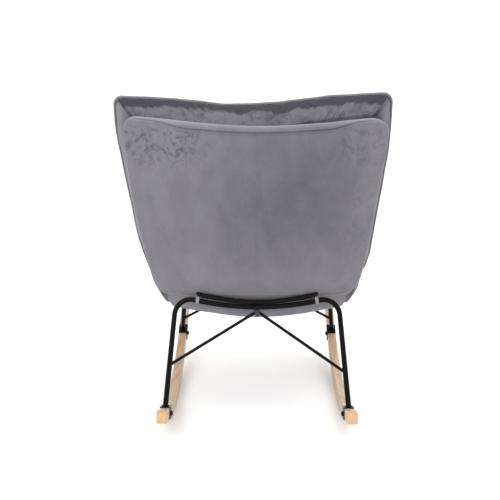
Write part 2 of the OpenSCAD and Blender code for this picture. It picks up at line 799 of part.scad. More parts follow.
// Steel angles that fix the plywood back to the seat board
module back_brackets() {
    low = board_z - bracket_t - 0.2;
    heights = [low, board_z + 14, board_z + 44];
    rear = core_off - bracket_t - 0.4;
    color([0.70, 0.70, 0.72]) difference() {
        at_back_brackets() rotate([90, 0, 90]) translate([0, 0, -15]) linear_extrude(30) polygon([
            for (z = heights) [layer_y(z, rear), z],
            for (i = [2 : -1 : 1]) [layer_y(heights[i], rear + bracket_t), heights[i]],
            [layer_y(low, rear + bracket_t), low + bracket_t],
            [bracket_reach, low + bracket_t],
            [bracket_reach, low]
        ]);
        at_back_screws() translate([0, 0, -6]) cylinder(h = 20, d = back_screw_d + 0.4);
    }
}

// Places children at the back brackets' screws, with Z pointing into the wood
module at_back_screws() {
    at_back_brackets() translate([0, bracket_reach - 14, board_z]) children();
    at_back_brackets() translate([0, layer_y(board_z + 30, core_off), board_z + 30])
        rotate([-90, 0, 0]) children();
}

module back_screws() {
    color([0.72, 0.72, 0.74]) at_back_screws() {
        translate([0, 0, -bracket_t + 0.3]) cylinder(h = bracket_t + 6, d = back_screw_d);
    }
}

rocker_left();
rocker_right();
rear_leg_tube();
front_leg_tube();
seat_ring();
foot_bracket_rear_left();
foot_bracket_rear_right();
foot_bracket_front_left();
foot_bracket_front_right();
rear_brace_left();
rear_brace_right();
front_brace_left();
front_brace_right();
rear_brace_tab();
front_brace_tab();
brace_bolts();
rocker_bolts();
rocker_inserts();
ring_clip_rear_left();
ring_clip_rear_right();
ring_clip_front_left();
ring_clip_front_right();
seat_lugs();
seat_bolts();
seat_nuts();
seat_board();
seat_base_pad();
seat_cushion();
arm_board_left();
arm_board_right();
arm_left();
arm_right();
arm_screws();
back_brackets();
back_screws();
back_core();
back_shell();
back_cushion();
edge_piping();
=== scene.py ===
import json
import math
import bpy
import bmesh
import numpy as np
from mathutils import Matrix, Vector

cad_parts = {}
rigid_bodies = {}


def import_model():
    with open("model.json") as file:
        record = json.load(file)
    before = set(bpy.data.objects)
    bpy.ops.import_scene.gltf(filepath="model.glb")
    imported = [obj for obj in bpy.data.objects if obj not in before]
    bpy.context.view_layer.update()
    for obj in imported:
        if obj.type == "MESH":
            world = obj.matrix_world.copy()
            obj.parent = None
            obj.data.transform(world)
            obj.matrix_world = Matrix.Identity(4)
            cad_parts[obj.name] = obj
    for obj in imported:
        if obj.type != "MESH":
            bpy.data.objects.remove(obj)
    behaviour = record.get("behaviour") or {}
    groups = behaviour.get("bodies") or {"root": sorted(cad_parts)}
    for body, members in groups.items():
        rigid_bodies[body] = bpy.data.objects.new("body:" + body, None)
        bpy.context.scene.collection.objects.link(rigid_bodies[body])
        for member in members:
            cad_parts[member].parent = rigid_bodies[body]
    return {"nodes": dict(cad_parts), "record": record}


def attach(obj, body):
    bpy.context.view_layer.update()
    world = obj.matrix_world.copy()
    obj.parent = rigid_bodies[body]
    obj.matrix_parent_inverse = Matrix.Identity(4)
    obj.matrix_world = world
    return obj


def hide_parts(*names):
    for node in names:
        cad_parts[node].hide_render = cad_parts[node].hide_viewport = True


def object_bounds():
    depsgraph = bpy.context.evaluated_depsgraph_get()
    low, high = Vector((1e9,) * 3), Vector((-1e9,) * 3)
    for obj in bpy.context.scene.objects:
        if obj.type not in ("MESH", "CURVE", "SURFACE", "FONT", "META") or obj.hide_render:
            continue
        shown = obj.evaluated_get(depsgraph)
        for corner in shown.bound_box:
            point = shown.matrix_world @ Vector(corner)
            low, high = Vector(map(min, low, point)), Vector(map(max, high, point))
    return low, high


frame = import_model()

cad_box = [list(v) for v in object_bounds()]

# ---------------------------------------------------------------- camera

CAM_AT = np.array([0.0, 2.625, 1.051])
PITCH, YAW = math.radians(13), math.radians(0.48)
FOCUS = 886.4                                   # focal length in units of 1/500 of the width
FORWARD = np.array([math.sin(YAW) * math.cos(PITCH), -math.cos(YAW) * math.cos(PITCH), -math.sin(PITCH)])
RIGHT = np.array([-math.cos(YAW), -math.sin(YAW), 0.0])
UP = np.cross(RIGHT, FORWARD)

cam_data = bpy.data.cameras.new("camera")
cam = bpy.data.objects.new("camera", cam_data)
bpy.context.scene.collection.objects.link(cam)
cam.location = CAM_AT
cam.rotation_euler = Vector(FORWARD).to_track_quat("-Z", "Y").to_euler()
cam_data.sensor_width = 36
cam_data.lens = 36 * FOCUS / 500
cam_data.clip_end = 60
bpy.context.scene.camera = cam


def seen_at(p):
    """Where points show in a 500 by 500 view from the rest camera. Used once, to place seams and creases."""
    d = p - CAM_AT
    w = d @ FORWARD
    return np.stack([250 + FOCUS * (d @ RIGHT) / w, 250 - FOCUS * (d @ UP) / w], -1)


# ---------------------------------------------------------------- small helpers

def clip01(x):
    return np.clip(x, 0.0, 1.0)


def smooth(x, a, b):
    t = clip01((x - a) / (b - a))
    return t * t * (3 - 2 * t)


def bump(d, w):
    return np.exp(-(d / w) ** 2)


def noise1(n, step, seed):
    """Smooth closed noise along a loop of n points, from -1 to 1, with about n / step waves."""
    r = np.random.default_rng(seed)
    k = max(4, int(n / step))
    v = r.uniform(-1, 1, k)
    x = np.arange(n) * k / n
    i = x.astype(int)
    f = x - i
    f = f * f * (3 - 2 * f)
    return v[i % k] * (1 - f) + v[(i + 1) % k] * f


def noise2(u, v, seed):
    """Smooth noise over a plane, from -1 to 1, one wave per unit of u and v."""
    r = np.random.default_rng(seed)
    g = r.uniform(-1, 1, (64, 64))
    iu, iv = np.floor(u).astype(int), np.floor(v).astype(int)
    fu, fv = u - iu, v - iv
    fu, fv = fu * fu * (3 - 2 * fu), fv * fv * (3 - 2 * fv)
    a = g[iu % 64, iv % 64] * (1 - fu) + g[(iu + 1) % 64, iv % 64] * fu
    b = g[iu % 64, (iv + 1) % 64] * (1 - fu) + g[(iu + 1) % 64, (iv + 1) % 64] * fu
    return a * (1 - fv) + b * fv


def cloud(u, v, seed):
    return (noise2(u, v, seed) * 0.6 + noise2(2.1 * u, 2.1 * v, seed + 1) * 0.3
            + noise2(4.3 * u, 4.3 * v, seed + 2) * 0.15)


# ---------------------------------------------------------------- grids of points

def resample(path, n):
    """n points evenly spaced along a polyline, without its last point."""
    seg = np.linalg.norm(np.diff(path, axis=0), axis=1)
    at = np.concatenate([[0], np.cumsum(seg)])
    want = np.linspace(0, at[-1], n + 1)[:-1]
    return np.stack([np.interp(want, at, path[:, i]) for i in range(path.shape[1])], -1)


def inward(loop):
    """Unit vectors across a closed plane loop, pointing into it."""
    t = np.roll(loop, -1, 0) - np.roll(loop, 1, 0)
    n = np.stack([-t[:, 1], t[:, 0]], -1)
    n /= np.linalg.norm(n, axis=1)[:, None] + 1e-12
    c = loop.mean(0)
    if ((c - loop) * n).sum() < 0:
        n = -n
    return n


def normals(g):
    """Vertex normals of a grid whose columns close round, pointing outwards."""
    du = np.roll(g, -1, 1) - np.roll(g, 1, 1)
    dv = np.gradient(g, axis=0)
    n = np.cross(du, dv)
    n /= np.linalg.norm(n, axis=2)[:, :, None] + 1e-12
    c = g.reshape(-1, 3).mean(0)
    if ((g - c) * n).sum() < 0:
        n = -n
    return n


def grid_object(name, g, nap_and_painted_light=None, mottle=None, weld=1e-5):
    """A closed mesh from a grid whose columns close round and whose first and last rows fold flat. The value
    for the pile's lie, which also carries painted shade and painted highlights, makes velvet darker, or
    lighter below zero, and mottle gives it small dark patches."""
    rows, cols = g.shape[:2]
    mesh = bpy.data.meshes.new(name)
    i = np.arange(rows - 1)[:, None] * cols
    j = np.arange(cols)[None, :]
    k = (j + 1) % cols
    faces = np.stack([i + j, i + k, i + cols + k, i + cols + j], -1).reshape(-1, 4)
    mesh.from_pydata(g.reshape(-1, 3).tolist(), [], faces.tolist())
    for key, val in (("nap_and_painted_light", nap_and_painted_light), ("mottle", mottle)):
        if val is not None:
            val = np.broadcast_to(val, (rows, cols)).reshape(-1).astype(np.float32)
            mesh.attributes.new(key, "FLOAT", "POINT").data.foreach_set("value", val)
    bm = bmesh.new()
    bm.from_mesh(mesh)
    ends = [v for v in bm.verts if v.index < cols or v.index >= (rows - 1) * cols]
    bmesh.ops.remove_doubles(bm, verts=ends, dist=weld)
    bmesh.ops.dissolve_degenerate(bm, edges=bm.edges, dist=1e-6)
    bmesh.ops.holes_fill(bm, edges=[e for e in bm.edges if e.is_boundary], sides=0)
    bmesh.ops.recalc_face_normals(bm, faces=bm.faces)
    bm.to_mesh(mesh)
    bm.free()
    mesh.shade_smooth()
    obj = bpy.data.objects.new(name, mesh)
    bpy.context.scene.collection.objects.link(obj)
    return obj


def puff(g, cap, frames=20, pressure=4.0, coarse=(26, 110)):
    """Cloth simulation of a padded piece: a coarse copy of the grid is blown up, and how far it moves,
    capped at cap metres (a number, or a grid), is added to the fine grid."""
    rows, cols = g.shape[:2]
    ri = np.unique(np.linspace(0, rows - 1, coarse[0]).round().astype(int))
    ci = np.unique(np.linspace(0, cols, coarse[1] + 1)[:-1].round().astype(int))
    c = g[np.ix_(ri, ci)]
    flat = c.reshape(-1, 3)
    keys, first, back = np.unique(flat.round(5), axis=0, return_index=True, return_inverse=True)
    back = back.reshape(-1)
    nr, nc = len(ri), len(ci)
    quads = []
    for a in range(nr - 1):
        for b in range(nc):
            q = [a * nc + b, a * nc + (b + 1) % nc, (a + 1) * nc + (b + 1) % nc, (a + 1) * nc + b]
            q = [int(back[x]) for x in q]
            q = [x for n, x in enumerate(q) if x != q[n - 1]]
            if len(set(q)) >= 3:
                quads.append(q)
    mesh = bpy.data.meshes.new("sim")
    mesh.from_pydata(flat[first].tolist(), [], quads)
    bm = bmesh.new()
    bm.from_mesh(mesh)
    bmesh.ops.recalc_face_normals(bm, faces=bm.faces)
    bm.to_mesh(mesh)
    bm.free()
    obj = bpy.data.objects.new("sim", mesh)
    bpy.context.scene.collection.objects.link(obj)
    mod = obj.modifiers.new("Cloth", "CLOTH")
    s = mod.settings
    s.quality = 5
    s.mass = 0.3
    s.tension_stiffness = 12
    s.compression_stiffness = 12
    s.shear_stiffness = 6
    s.bending_stiffness = 0.6
    s.use_pressure = True
    s.uniform_pressure_force = pressure
    s.effector_weights.gravity = 0
    mod.collision_settings.use_collision = False
    mod.point_cache.frame_start = 1
    mod.point_cache.frame_end = frames + 1
    sc = bpy.context.scene
    for f in range(1, frames + 1):
        sc.frame_set(f)
        dg = bpy.context.evaluated_depsgraph_get()
        ev = obj.evaluated_get(dg)
        co = np.empty(len(ev.data.vertices) * 3)
        ev.data.vertices.foreach_get("co", co)
    co = co.reshape(-1, 3)
    sc.frame_set(1)
    move = (co - flat[first])[back].reshape(nr, nc, 3)
    bpy.data.objects.remove(obj)
    bpy.data.meshes.remove(mesh)
    # Spread the coarse moves over the fine grid
    cols_at = np.arange(cols)
    cw = np.concatenate([ci, [ci[0] + cols]])
    wide = np.empty((nr, cols, 3))
    for a in range(nr):
        row = np.concatenate([move[a], move[a][:1]])
        for k in range(3):
            wide[a, :, k] = np.interp(cols_at, cw, row[:, k])
    fine = np.empty((rows, cols, 3))
    for k in range(3):
        for b in range(cols):
            fine[:, b, k] = np.interp(np.arange(rows), ri, wide[:, b, k])
    size = np.linalg.norm(fine, axis=2)
    cap = np.broadcast_to(np.asarray(cap, float), size.shape)
    fine *= (np.tanh(size / np.maximum(cap, 1e-6)) * cap / np.maximum(size, 1e-9))[:, :, None]
    return g + fine


def spine_rows(loop, a, b, n):
    """n rows that shrink a loop on to the spine from a to b, each point to its nearest spine point."""
    ab = b - a
    t = clip01(((loop - a) @ ab) / (ab @ ab))
    target = a + t[:, None] * ab
    return [loop + (target - loop) * x for x in np.arange(1, n + 1) / n]


# ---------------------------------------------------------------- the back's shape, as in the CAD source

R, LOW, LOW_Y, LEAN, BOW, TOP = 0.712, 0.348, 0.215, 0.105, 0.012, 0.845
SHELL_T, CUSHION_OFF, FRONT_OFF = 0.035, 0.0495, 0.1275


def back_y(z):
    k = (z - LOW) / (TOP - LOW)
    return LOW_Y + LEAN * k + 4 * BOW * k * (1 - k)


def shell_half(z):
    return 0.360 - 0.067 * (1 - clip01((z - LOW) / (TOP - LOW))) ** 2


def wide_half(z):
    """Half width of the cushion's front edge, down to the hips."""
    return shell_half(z) + 0.011 + 0.012 * clip01((z - 0.6) / 0.25)


def on_shell(xz, off):
    """A plane point put on the back's cylinder, off metres in front of the shell's rear face."""
    x, z = xz[..., 0], xz[..., 1]
    return np.stack([x * (R - off) / R, back_y(z) - R + (R - off) * np.sqrt(1 - (x / R) ** 2), z], -1)


def on_cushion(xz, off):
    """The same for the cushion, whose top leans back past the shell's."""
    x, z = xz[..., 0], xz[..., 1]
    y = back_y(np.minimum(z, TOP)) + 0.2 * np.maximum(0, z - TOP) - R + (R - off) * np.sqrt(1 - (x / R) ** 2)
    return np.stack([x, y, z], -1)


def outline(half, top, low, rt, rb, counts):
    """A closed outline in the x-z plane: counts are points along a half's bottom, side and top, which meet
    at the middles of its rounded corners."""
    nb, ns, nt = counts
    a = np.radians(np.linspace(0, 90, 46))
    h_low = half(low + rb)
    zt = top(1.0)
    zb = low + rb * (1 - np.cos(a))
    corner_b = np.stack([half(np.maximum(zb, low + rb * 0.02)) - rb * (1 - np.sin(a)), zb], -1)
    flat_b = np.stack([np.linspace(0, corner_b[0, 0], 60), np.full(60, low)], -1)
    zs = np.linspace(low + rb, zt - rt, 160)
    side = np.stack([half(zs), zs], -1)
    zc = zt - rt * (1 - np.sin(a))
    xc = half(zc) - rt * (1 - np.cos(a))
    corner_t = np.stack([xc, zc + top(np.minimum(1, xc / half(zt))) - zt], -1)
    xt = np.linspace(corner_t[-1, 0], 0, 90)
    flat_t = np.stack([xt, top(xt / half(zt))], -1)
    bottom = np.concatenate([flat_b, corner_b[1:24]])
    middle = np.concatenate([corner_b[23:], side[1:], corner_t[1:24]])
    upper = np.concatenate([corner_t[23:], flat_t[1:]])
    right = np.concatenate([resample(bottom, nb), resample(middle, ns), resample(upper, nt)])
    end = np.array([[0.0, top(0.0)]])
    left = (right * [-1, 1])[::-1][:-1]
    return np.concatenate([right, end, left])


# How the real, hand-stuffed chair differs from its even CAD shape. Each side of the back has its own width
# over the height, and each top edge its own height across the back.
CUSHION_Z = [0.352, 0.372, 0.391, 0.410, 0.449, 0.486, 0.543, 0.598, 0.706, 0.758, 0.793, 0.844, 0.895]
CUSHION_LEFT = [0.001, 0.001, 0.004, 0.005, 0.009, 0.012, 0.013, 0.012, 0.0135, 0.015, 0.0178, 0.0185, 0.0180]
CUSHION_RIGHT = [-0.014, -0.008, -0.002, 0.002, 0.005, 0.002, -0.001, -0.002, -0.005, -0.004, -0.005,
                 -0.007, -0.008]
CUSHION_X = [-0.38, -0.35, -0.295, -0.199, -0.135, -0.057, 0.02, 0.09, 0.155, 0.215, 0.302, 0.35, 0.38]
CUSHION_TOP = [0.004, 0.0072, 0.011, 0.0134, 0.0092, 0.0023, -0.0015, -0.0037, 0.0017, 0.0046, 0.0018,
               -0.002, -0.004]
SHELL_Z = [0.369, 0.403, 0.467, 0.560, 0.629, 0.70, 0.77, 0.832]
SHELL_LEFT = [0.0, 0.0026, 0.0026, 0.0043, 0.0069, 0.0085, 0.0110, 0.0097]
SHELL_RIGHT = [-0.006, -0.002, -0.004, -0.0080, -0.0080, -0.0050, 0.0010, 0.0030]
SHELL_X = [-0.36, -0.335, -0.307, -0.279, -0.134, -0.057, 0.02, 0.114, 0.193, 0.273, 0.331, 0.36]
SHELL_TOP = [-0.009, -0.0057, 0.0023, 0.0036, 0.0031, 0.0015, 0.0010, 0.0039, 0.0067, 0.0066, 0.0052, 0.003]


def skewed(g, half, zs, left, right, xs, top, start):
    """Moves a piece's sides and its top edge by the tables above."""
    g = g.copy()
    x, z = g[..., 0].copy(), g[..., 2].copy()
    s = x / half(np.clip(z, LOW, TOP))
    side = np.where(s > 0, np.interp(z, zs, left), -np.interp(z, zs, right))
    g[..., 0] = x + side * smooth(np.abs(s), 0.0, 0.95)
    g[..., 2] = z + np.interp(x, xs, top) * smooth(z, start, 0.86)
    return g


def skew_cushion(g):
    return skewed(g, wide_half, CUSHION_Z, CUSHION_LEFT, CUSHION_RIGHT, CUSHION_X, CUSHION_TOP, 0.70)


def skew_shell(g):
    return skewed(g, shell_half, SHELL_Z, SHELL_LEFT, SHELL_RIGHT, SHELL_X, SHELL_TOP, 0.74)


def crease(g, n, marks):
    """Presses narrow creases into a grid. A mark is (x0, y0, x1, y1, half width, depth), the first five in
    the view's units; each crease has a soft ridge on both sides."""
    px = seen_at(g)
    move = np.zeros(g.shape[:2])
    for x0, y0, x1, y1, w, depth in marks:
        a, b = np.array([x0, y0]), np.array([x1, y1])
        ab = b - a
        t = clip01(((px - a) @ ab) / (ab @ ab))
        d = np.linalg.norm(px - (a + t[..., None] * ab), axis=-1)
        fade = np.sin(np.pi * clip01(0.12 + 0.76 * t))
        move += fade * (-depth * bump(d, w) + 0.45 * depth * bump(d - 2.1 * w, w))
    return g + n * move[..., None]


# ---------------------------------------------------------------- velvet pieces

INNER_ROWS = 8                                    # rows of a back piece's hidden side
ROLL_ROWS, SHELL_FACE_ROWS = 27, 95
BAND_ROWS, EDGE_ROWS, FRONT_ROWS = 46, 8, 88
CORNER_RISE, CUSHION_RISE = 0.018, 0.054
EDGE_R = 0.010                                    # rounding of the back cushion's front edge


def shell_top(s):
    return TOP + CORNER_RISE * s * s


def make_shell():
    """The big rear panel: rolled edges, a seam under the roll along its top, and a faint centre seam."""
    counts = (150, 300, 200)
    loop = outline(shell_half, shell_top, LOW, 0.034, 0.034, counts)
    n_in = inward(loop)
    r = SHELL_T / 2
    rows_xz, offs = [], []
    for x in np.radians(np.linspace(-90, 90, ROLL_ROWS)):
        rows_xz.append(loop + n_in * (r * (1 - np.cos(x))))
        offs.append(r - r * math.sin(x))
    last = loop + n_in * r
    sa, sb = np.array([-0.17, 0.585]), np.array([0.17, 0.585])
    face = spine_rows(last, sa, sb, SHELL_FACE_ROWS)
    inner = spine_rows(last, sa, sb, INNER_ROWS)
    rows_xz = inner[::-1] + rows_xz + face
    offs = [SHELL_T] * INNER_ROWS + offs + [0.0] * SHELL_FACE_ROWS
    g = np.stack([on_shell(xz, off) for xz, off in zip(rows_xz, offs)])
    g = skew_shell(g)
    n = normals(g)
    rear = (np.arange(len(offs)) >= INNER_ROWS + ROLL_ROWS // 2)[:, None]
    xz = np.stack(rows_xz)
    x, z = xz[..., 0], xz[..., 1]
    half = shell_half(z)
    s = x / half
    d_top = shell_top(np.clip(s, -1, 1)) - z
    d_side = half - np.abs(x)
    edge = np.minimum(np.minimum(d_top, d_side), z - LOW)
    soft = rear * smooth(edge, 0.008, 0.07)
    move = 0.0035 * soft
    move -= 0.0016 * rear * bump(edge - 0.030, 0.016)
    # Roll along the top edge, with its seam, a line of stitches below it, and small puckers between them
    g_at = 0.0044 + 0.0122 * smooth(1 - np.abs(s), 0.22, 0.50)
    across = d_top - g_at
    along = np.abs(s) < 0.93
    seam = bump(across, 0.0016)
    fade = smooth(1 - np.abs(s), 0.04, 0.16)
    puck = noise2(s * 46, 0 * s, 21) * 0.6 + noise2(s * 90, 0 * s, 22) * 0.4
    move -= rear * along * fade * (0.0028 * seam + 0.0006 * bump(across - 0.006, 0.0013))
    move += rear * along * fade * 0.0016 * bump(across + 0.009, 0.0065)
    move += rear * along * fade * 0.0011 * puck * np.exp(-np.maximum(across, 0) / 0.009) * (across > -0.001)
    # Centre seam from the roll to the lower edge
    down = smooth(z, LOW + 0.004, LOW + 0.03) * (across > 0)
    move -= rear * down * (0.0011 * bump(x - 0.001, 0.0014) - 0.0004 * bump(np.abs(x - 0.001) - 0.004, 0.002))
    # Slack and slight waves near the edges and above the hips
    move += rear * 0.0011 * cloud(x * 9, z * 7, 31) * smooth(edge, 0.0, 0.05)
    hips = rear * smooth(0.46 - z, 0, 0.08)
    move += hips * 0.0012 * noise2(x * 12 + 3, z * 30, 37)
    # Seam along the lower edge, with a rolled lip under it
    low = rear * (np.abs(x) < 0.26)
    move -= low * 0.0015 * bump(z - LOW - 0.013, 0.0016)
    g = g + n * move[..., None]
    # Lie of the pile with painted light and shade: painted shade in the middle and to the right, painted
    # highlights at both sides and on the roll, painted light from below along the foot, a thin painted
    # highlight along the rim, painted shade in the roll's seam and along the line of stitches below it, and a
    # random cloudy tone
    nap_and_painted_light = (0.36 * bump(x + 0.05, 0.20) * bump(z - 0.62, 0.15)
           + 0.14 * bump(x + 0.17, 0.08) * smooth(z, 0.50, 0.62))
    nap_and_painted_light -= (0.06 * smooth(x, 0.05, 0.30) + 0.12 * smooth(-x, 0.22, 0.32) + 0.10 * bump(z - 0.37, 0.07)
            + 0.40 * bump(edge, 0.0065) + 0.10 * bump(across + 0.006, 0.004) * fade)
    nap_and_painted_light += (0.60 * bump(across, 0.0018) * fade + 0.22 * bump(across - 0.0065, 0.0014) * fade
            + 0.10 * cloud(x * 7, z * 6, 42))
    mottle = (smooth(z, 0.70, 0.79) * (smooth(x, 0.08, 0.20) + 0.6 * smooth(-x, 0.16, 0.26))
              * smooth(d_top, 0.02, 0.03))
    mottle += (0.45 * bump(z - 0.40, 0.03) * bump(x - 0.21, 0.04)
               + 0.25 * smooth(0.75 - z, 0, 0.1) * smooth(-x, 0.2, 0.3))
    nap_and_painted_light, mottle = nap_and_painted_light * rear, mottle * rear
    obj = grid_object("shell_cover", g, nap_and_painted_light, mottle)
    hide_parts("back_shell")
    return obj


def cushion_top(s):
    return TOP + CUSHION_RISE + CORNER_RISE * s * s


def make_cushion():
    """The back cushion: a rear face, a sewn side band with mitred corners, and a crowned, tufted front. Also
    gives the front edge that the welt follows: its points, their normals and how many make half the foot."""
    counts = (130, 330, 330)
    nb, ns, nt = counts
    rear_top = lambda s: TOP - 0.004 + CORNER_RISE * s * s
    rear = outline(lambda z: shell_half(z) - 0.010, rear_top, 0.372, 0.030, 0.05, counts)
    front = outline(wide_half, cushion_top, 0.345, 0.024, 0.062, counts)
    a = on_shell(rear, CUSHION_OFF)
    b = on_cushion(front, FRONT_OFF)
    cols = len(a)
    # The band bulges a little between its two edges
    m = BAND_ROWS
    t = np.linspace(0, 1, m)[:, None, None]
    mid = a + (b - a) * t
    out = np.cross(np.roll(b, -1, 0) - np.roll(b, 1, 0), b - a)
    out /= np.linalg.norm(out, axis=1)[:, None] + 1e-12
    centre = np.array([0, 0.2, 0.6])
    if ((b - centre) * out).sum() < 0:
        out = -out
    band = mid + out * (0.0035 * np.sin(np.pi * t))
    # Round the front edge
    sa, sb = np.array([-0.20, 0.62]), np.array([0.20, 0.62])
    n_in = inward(front)
    rows = []
    rr = EDGE_R
    for ang in np.radians(np.linspace(12, 90, EDGE_ROWS)):
        xz = front + n_in * (rr * (1 - math.cos(ang)))
        rows.append(on_cushion(xz, FRONT_OFF + rr * math.sin(ang)))
    last = front + n_in * rr
    face = spine_rows(last, sa, sb, FRONT_ROWS)
    face3 = [on_cushion(xz, FRONT_OFF + rr) for xz in face]
    back = spine_rows(rear, np.array([-0.17, 0.6]), np.array([0.17, 0.6]), INNER_ROWS)
    back3 = [on_shell(xz, CUSHION_OFF) for xz in back][::-1]
    g = np.concatenate([np.stack(back3), band, np.stack(rows), np.stack(face3)])
    kind = np.array([0] * INNER_ROWS + [1] * m + [2] * EDGE_ROWS + [3] * FRONT_ROWS)
    ramp_rows = np.arange(len(kind))
    face_at = INNER_ROWS + m + EDGE_ROWS          # first row of the front face
    # Crown of the front face
    x, z = g[..., 0], g[..., 2]
    s = x / wide_half(np.clip(z, LOW, TOP))
    v = (z - 0.345) / 0.56
    crown = 0.014 * clip01(1 - np.abs(s) ** 4) * clip01(1 - np.abs(2 * v - 1) ** 4)
    g[..., 1] -= crown * (kind[:, None] == 3) * smooth(ramp_rows[:, None], face_at, face_at + 22)
    cap = np.where(kind == 3, 0.009, np.where(kind == 2, 0.003, np.where(kind == 1, 0.0022, 0.0001)))
    cap = np.broadcast_to(cap[:, None], g.shape[:2]).copy()
    cap[kind == 3] *= (0.35 + 0.65 * smooth(ramp_rows[kind == 3], face_at, face_at + 32))[:, None]
    g = puff(g, cap, coarse=(34, 120))
    g = skew_cushion(g)
    n = normals(g)
    x, z = g[..., 0], g[..., 2]
    move = np.zeros(g.shape[:2])
    # Tufts of the front face, and the soft folds that join them
    is_front = (kind[:, None] == 3)
    pull = np.zeros_like(move)
    for tx in (-0.20, 0.0, 0.20):
        for tz in (0.60, 0.745):
            d = np.hypot(x - tx - 0.008, z - tz)
            pull += 0.011 * np.exp(-(d / 0.030) ** 1.4) + 0.006 * bump(d, 0.007)
    for tz in (0.60, 0.745):
        pull += 0.003 * bump(z - tz - 0.004 * np.cos(np.pi * (x - 0.008) / 0.1), 0.007) * (np.abs(x) < 0.30)
    move -= pull * is_front
    # The band: two lines of stitches on each mitre, slack under the welt, and puckers
    is_band = (kind[:, None] == 1)
    q = np.zeros(len(kind))
    q[kind == 1] = np.linspace(0, 1, m)
    q = q[:, None]
    j = np.arange(cols)[None, :].astype(float)
    step = np.linalg.norm(np.roll(b, -1, 0) - b, axis=1).mean()
    mitre = 0.0
    for corner in (nb + ns, cols - nb - ns):
        d = (j - corner) * step
        bow = 0.004 * np.sin(np.pi * q) * (1 if corner > cols / 2 else 0.3)
        for shift in (-0.0028, 0.0028):
            move -= is_band * 0.0024 * bump(d - shift - bow, 0.0012)
            mitre = mitre + bump(d - shift - bow, 0.0011)
        move += is_band * 0.0012 * bump(d - bow, 0.0016)
        move -= is_band * 0.0022 * bump(d - bow, 0.012)
    top = np.broadcast_to((j > nb + ns) & (j < cols - nb - ns), move.shape)
    ripple = noise1(cols, 26, 51)[None, :] * 0.7 + noise1(cols, 11, 52)[None, :] * 0.3
    move += is_band * 0.0010 * ripple * bump(q - 0.93, 0.10)
    move += is_band * 0.0012 * noise1(cols, 40, 53)[None, :] * bump(q - 0.1, 0.22)
    move -= is_band * 0.0030 * bump(q - 1.0, 0.045)
    move += is_band * 0.0012 * cloud(j * step * 22, q * 2.2, 54)
    g = g + n * move[..., None]
    marks = [
        (187.0, 101.8, 194.5, 107.0, 0.55, 0.0018), (189.5, 101.5, 197.0, 107.5, 0.45, 0.0010),
        (206.0, 110.5, 199.0, 120.0, 0.60, 0.0022), (203.0, 110.0, 196.5, 118.5, 0.50, 0.0014),
        (165.0, 99.8, 173.0, 107.5, 0.55, 0.0012), (271.0, 109.0, 276.0, 117.0, 0.80, 0.0016),
        (283.0, 114.0, 287.5, 120.5, 0.60, 0.0016), (288.5, 113.5, 292.5, 120.0, 0.55, 0.0014),
        (309.0, 104.5, 315.0, 109.5, 1.30, 0.0024), (318.0, 122.5, 323.5, 112.5, 0.65, 0.0020),
        (324.5, 122.0, 330.0, 111.5, 0.65, 0.0022), (331.5, 121.0, 337.0, 111.0, 0.65, 0.0020),
        (338.0, 119.5, 344.5, 110.5, 0.60, 0.0018), (302.0, 122.5, 297.5, 115.0, 0.60, 0.0012),
        (236.0, 122.0, 240.0, 116.0, 0.60, 0.0012), (222.0, 112.0, 228.0, 118.5, 0.70, 0.0012),
        (352.0, 101.0, 357.0, 108.0, 0.60, 0.0012), (150.0, 104.0, 155.0, 111.0, 0.60, 0.0010),
    ]
    only = (is_band & top)
    moved = crease(g, n, marks)
    g = np.where(only[..., None], moved, g)
    u = j * step
    # Colour of the band and front, carried with the pile's lie. The top band darkens above a ragged line,
    # with painted shade (shade) that grows towards -x. The side bands get painted light towards +x. There is
    # painted shade along the band's rear edge, wider on the side bands, a painted shadow under the welt, and
    # painted shade along the mitre stitches. The front gets a random cloudy tone, and the top band gets
    # blotches.
    rag = (0.62 + 0.10 * noise1(cols, 60, 61)[None, :] + 0.07 * noise1(cols, 22, 62)[None, :]
           + 0.05 * noise1(cols, 9, 63)[None, :])
    shade = 0.95 + 0.35 * smooth(-x, -0.1, 0.1) + 0.25 * noise1(cols, 45, 68)[None, :]
    nap_and_painted_light = is_band * top * (shade * smooth(q, rag - 0.12, rag + 0.10)
                           + 0.25 + 0.45 * clip01(cloud(u * 30, q * 2.6, 64)) * smooth(rag - q, -0.1, 0.2))
    nap_and_painted_light = nap_and_painted_light + is_band * (~top) * (0.10 * clip01(cloud(u * 12, q * 2.0, 65)) - 0.12 * smooth(x, 0, 0.1))
    nap_and_painted_light = nap_and_painted_light + is_front * 0.30 * clip01(cloud(x * 9, z * 9, 66)) + is_band * 0.35 * bump(q, 0.05)
    nap_and_painted_light = (nap_and_painted_light + is_band * 1.2 * bump(q - 0.945, 0.022) + is_band * 0.7 * mitre
           + is_band * (~top) * bump(q, 0.40))
    mottle = is_band * top * (0.35 + 0.65 * noise1(cols, 60, 67)[None, :] ** 2)
    obj = grid_object("back_cushion_cover", g, nap_and_painted_light, mottle)
    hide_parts("back_cushion")
    at = INNER_ROWS + m + 1
    return obj, (g[at], n[at], nb)


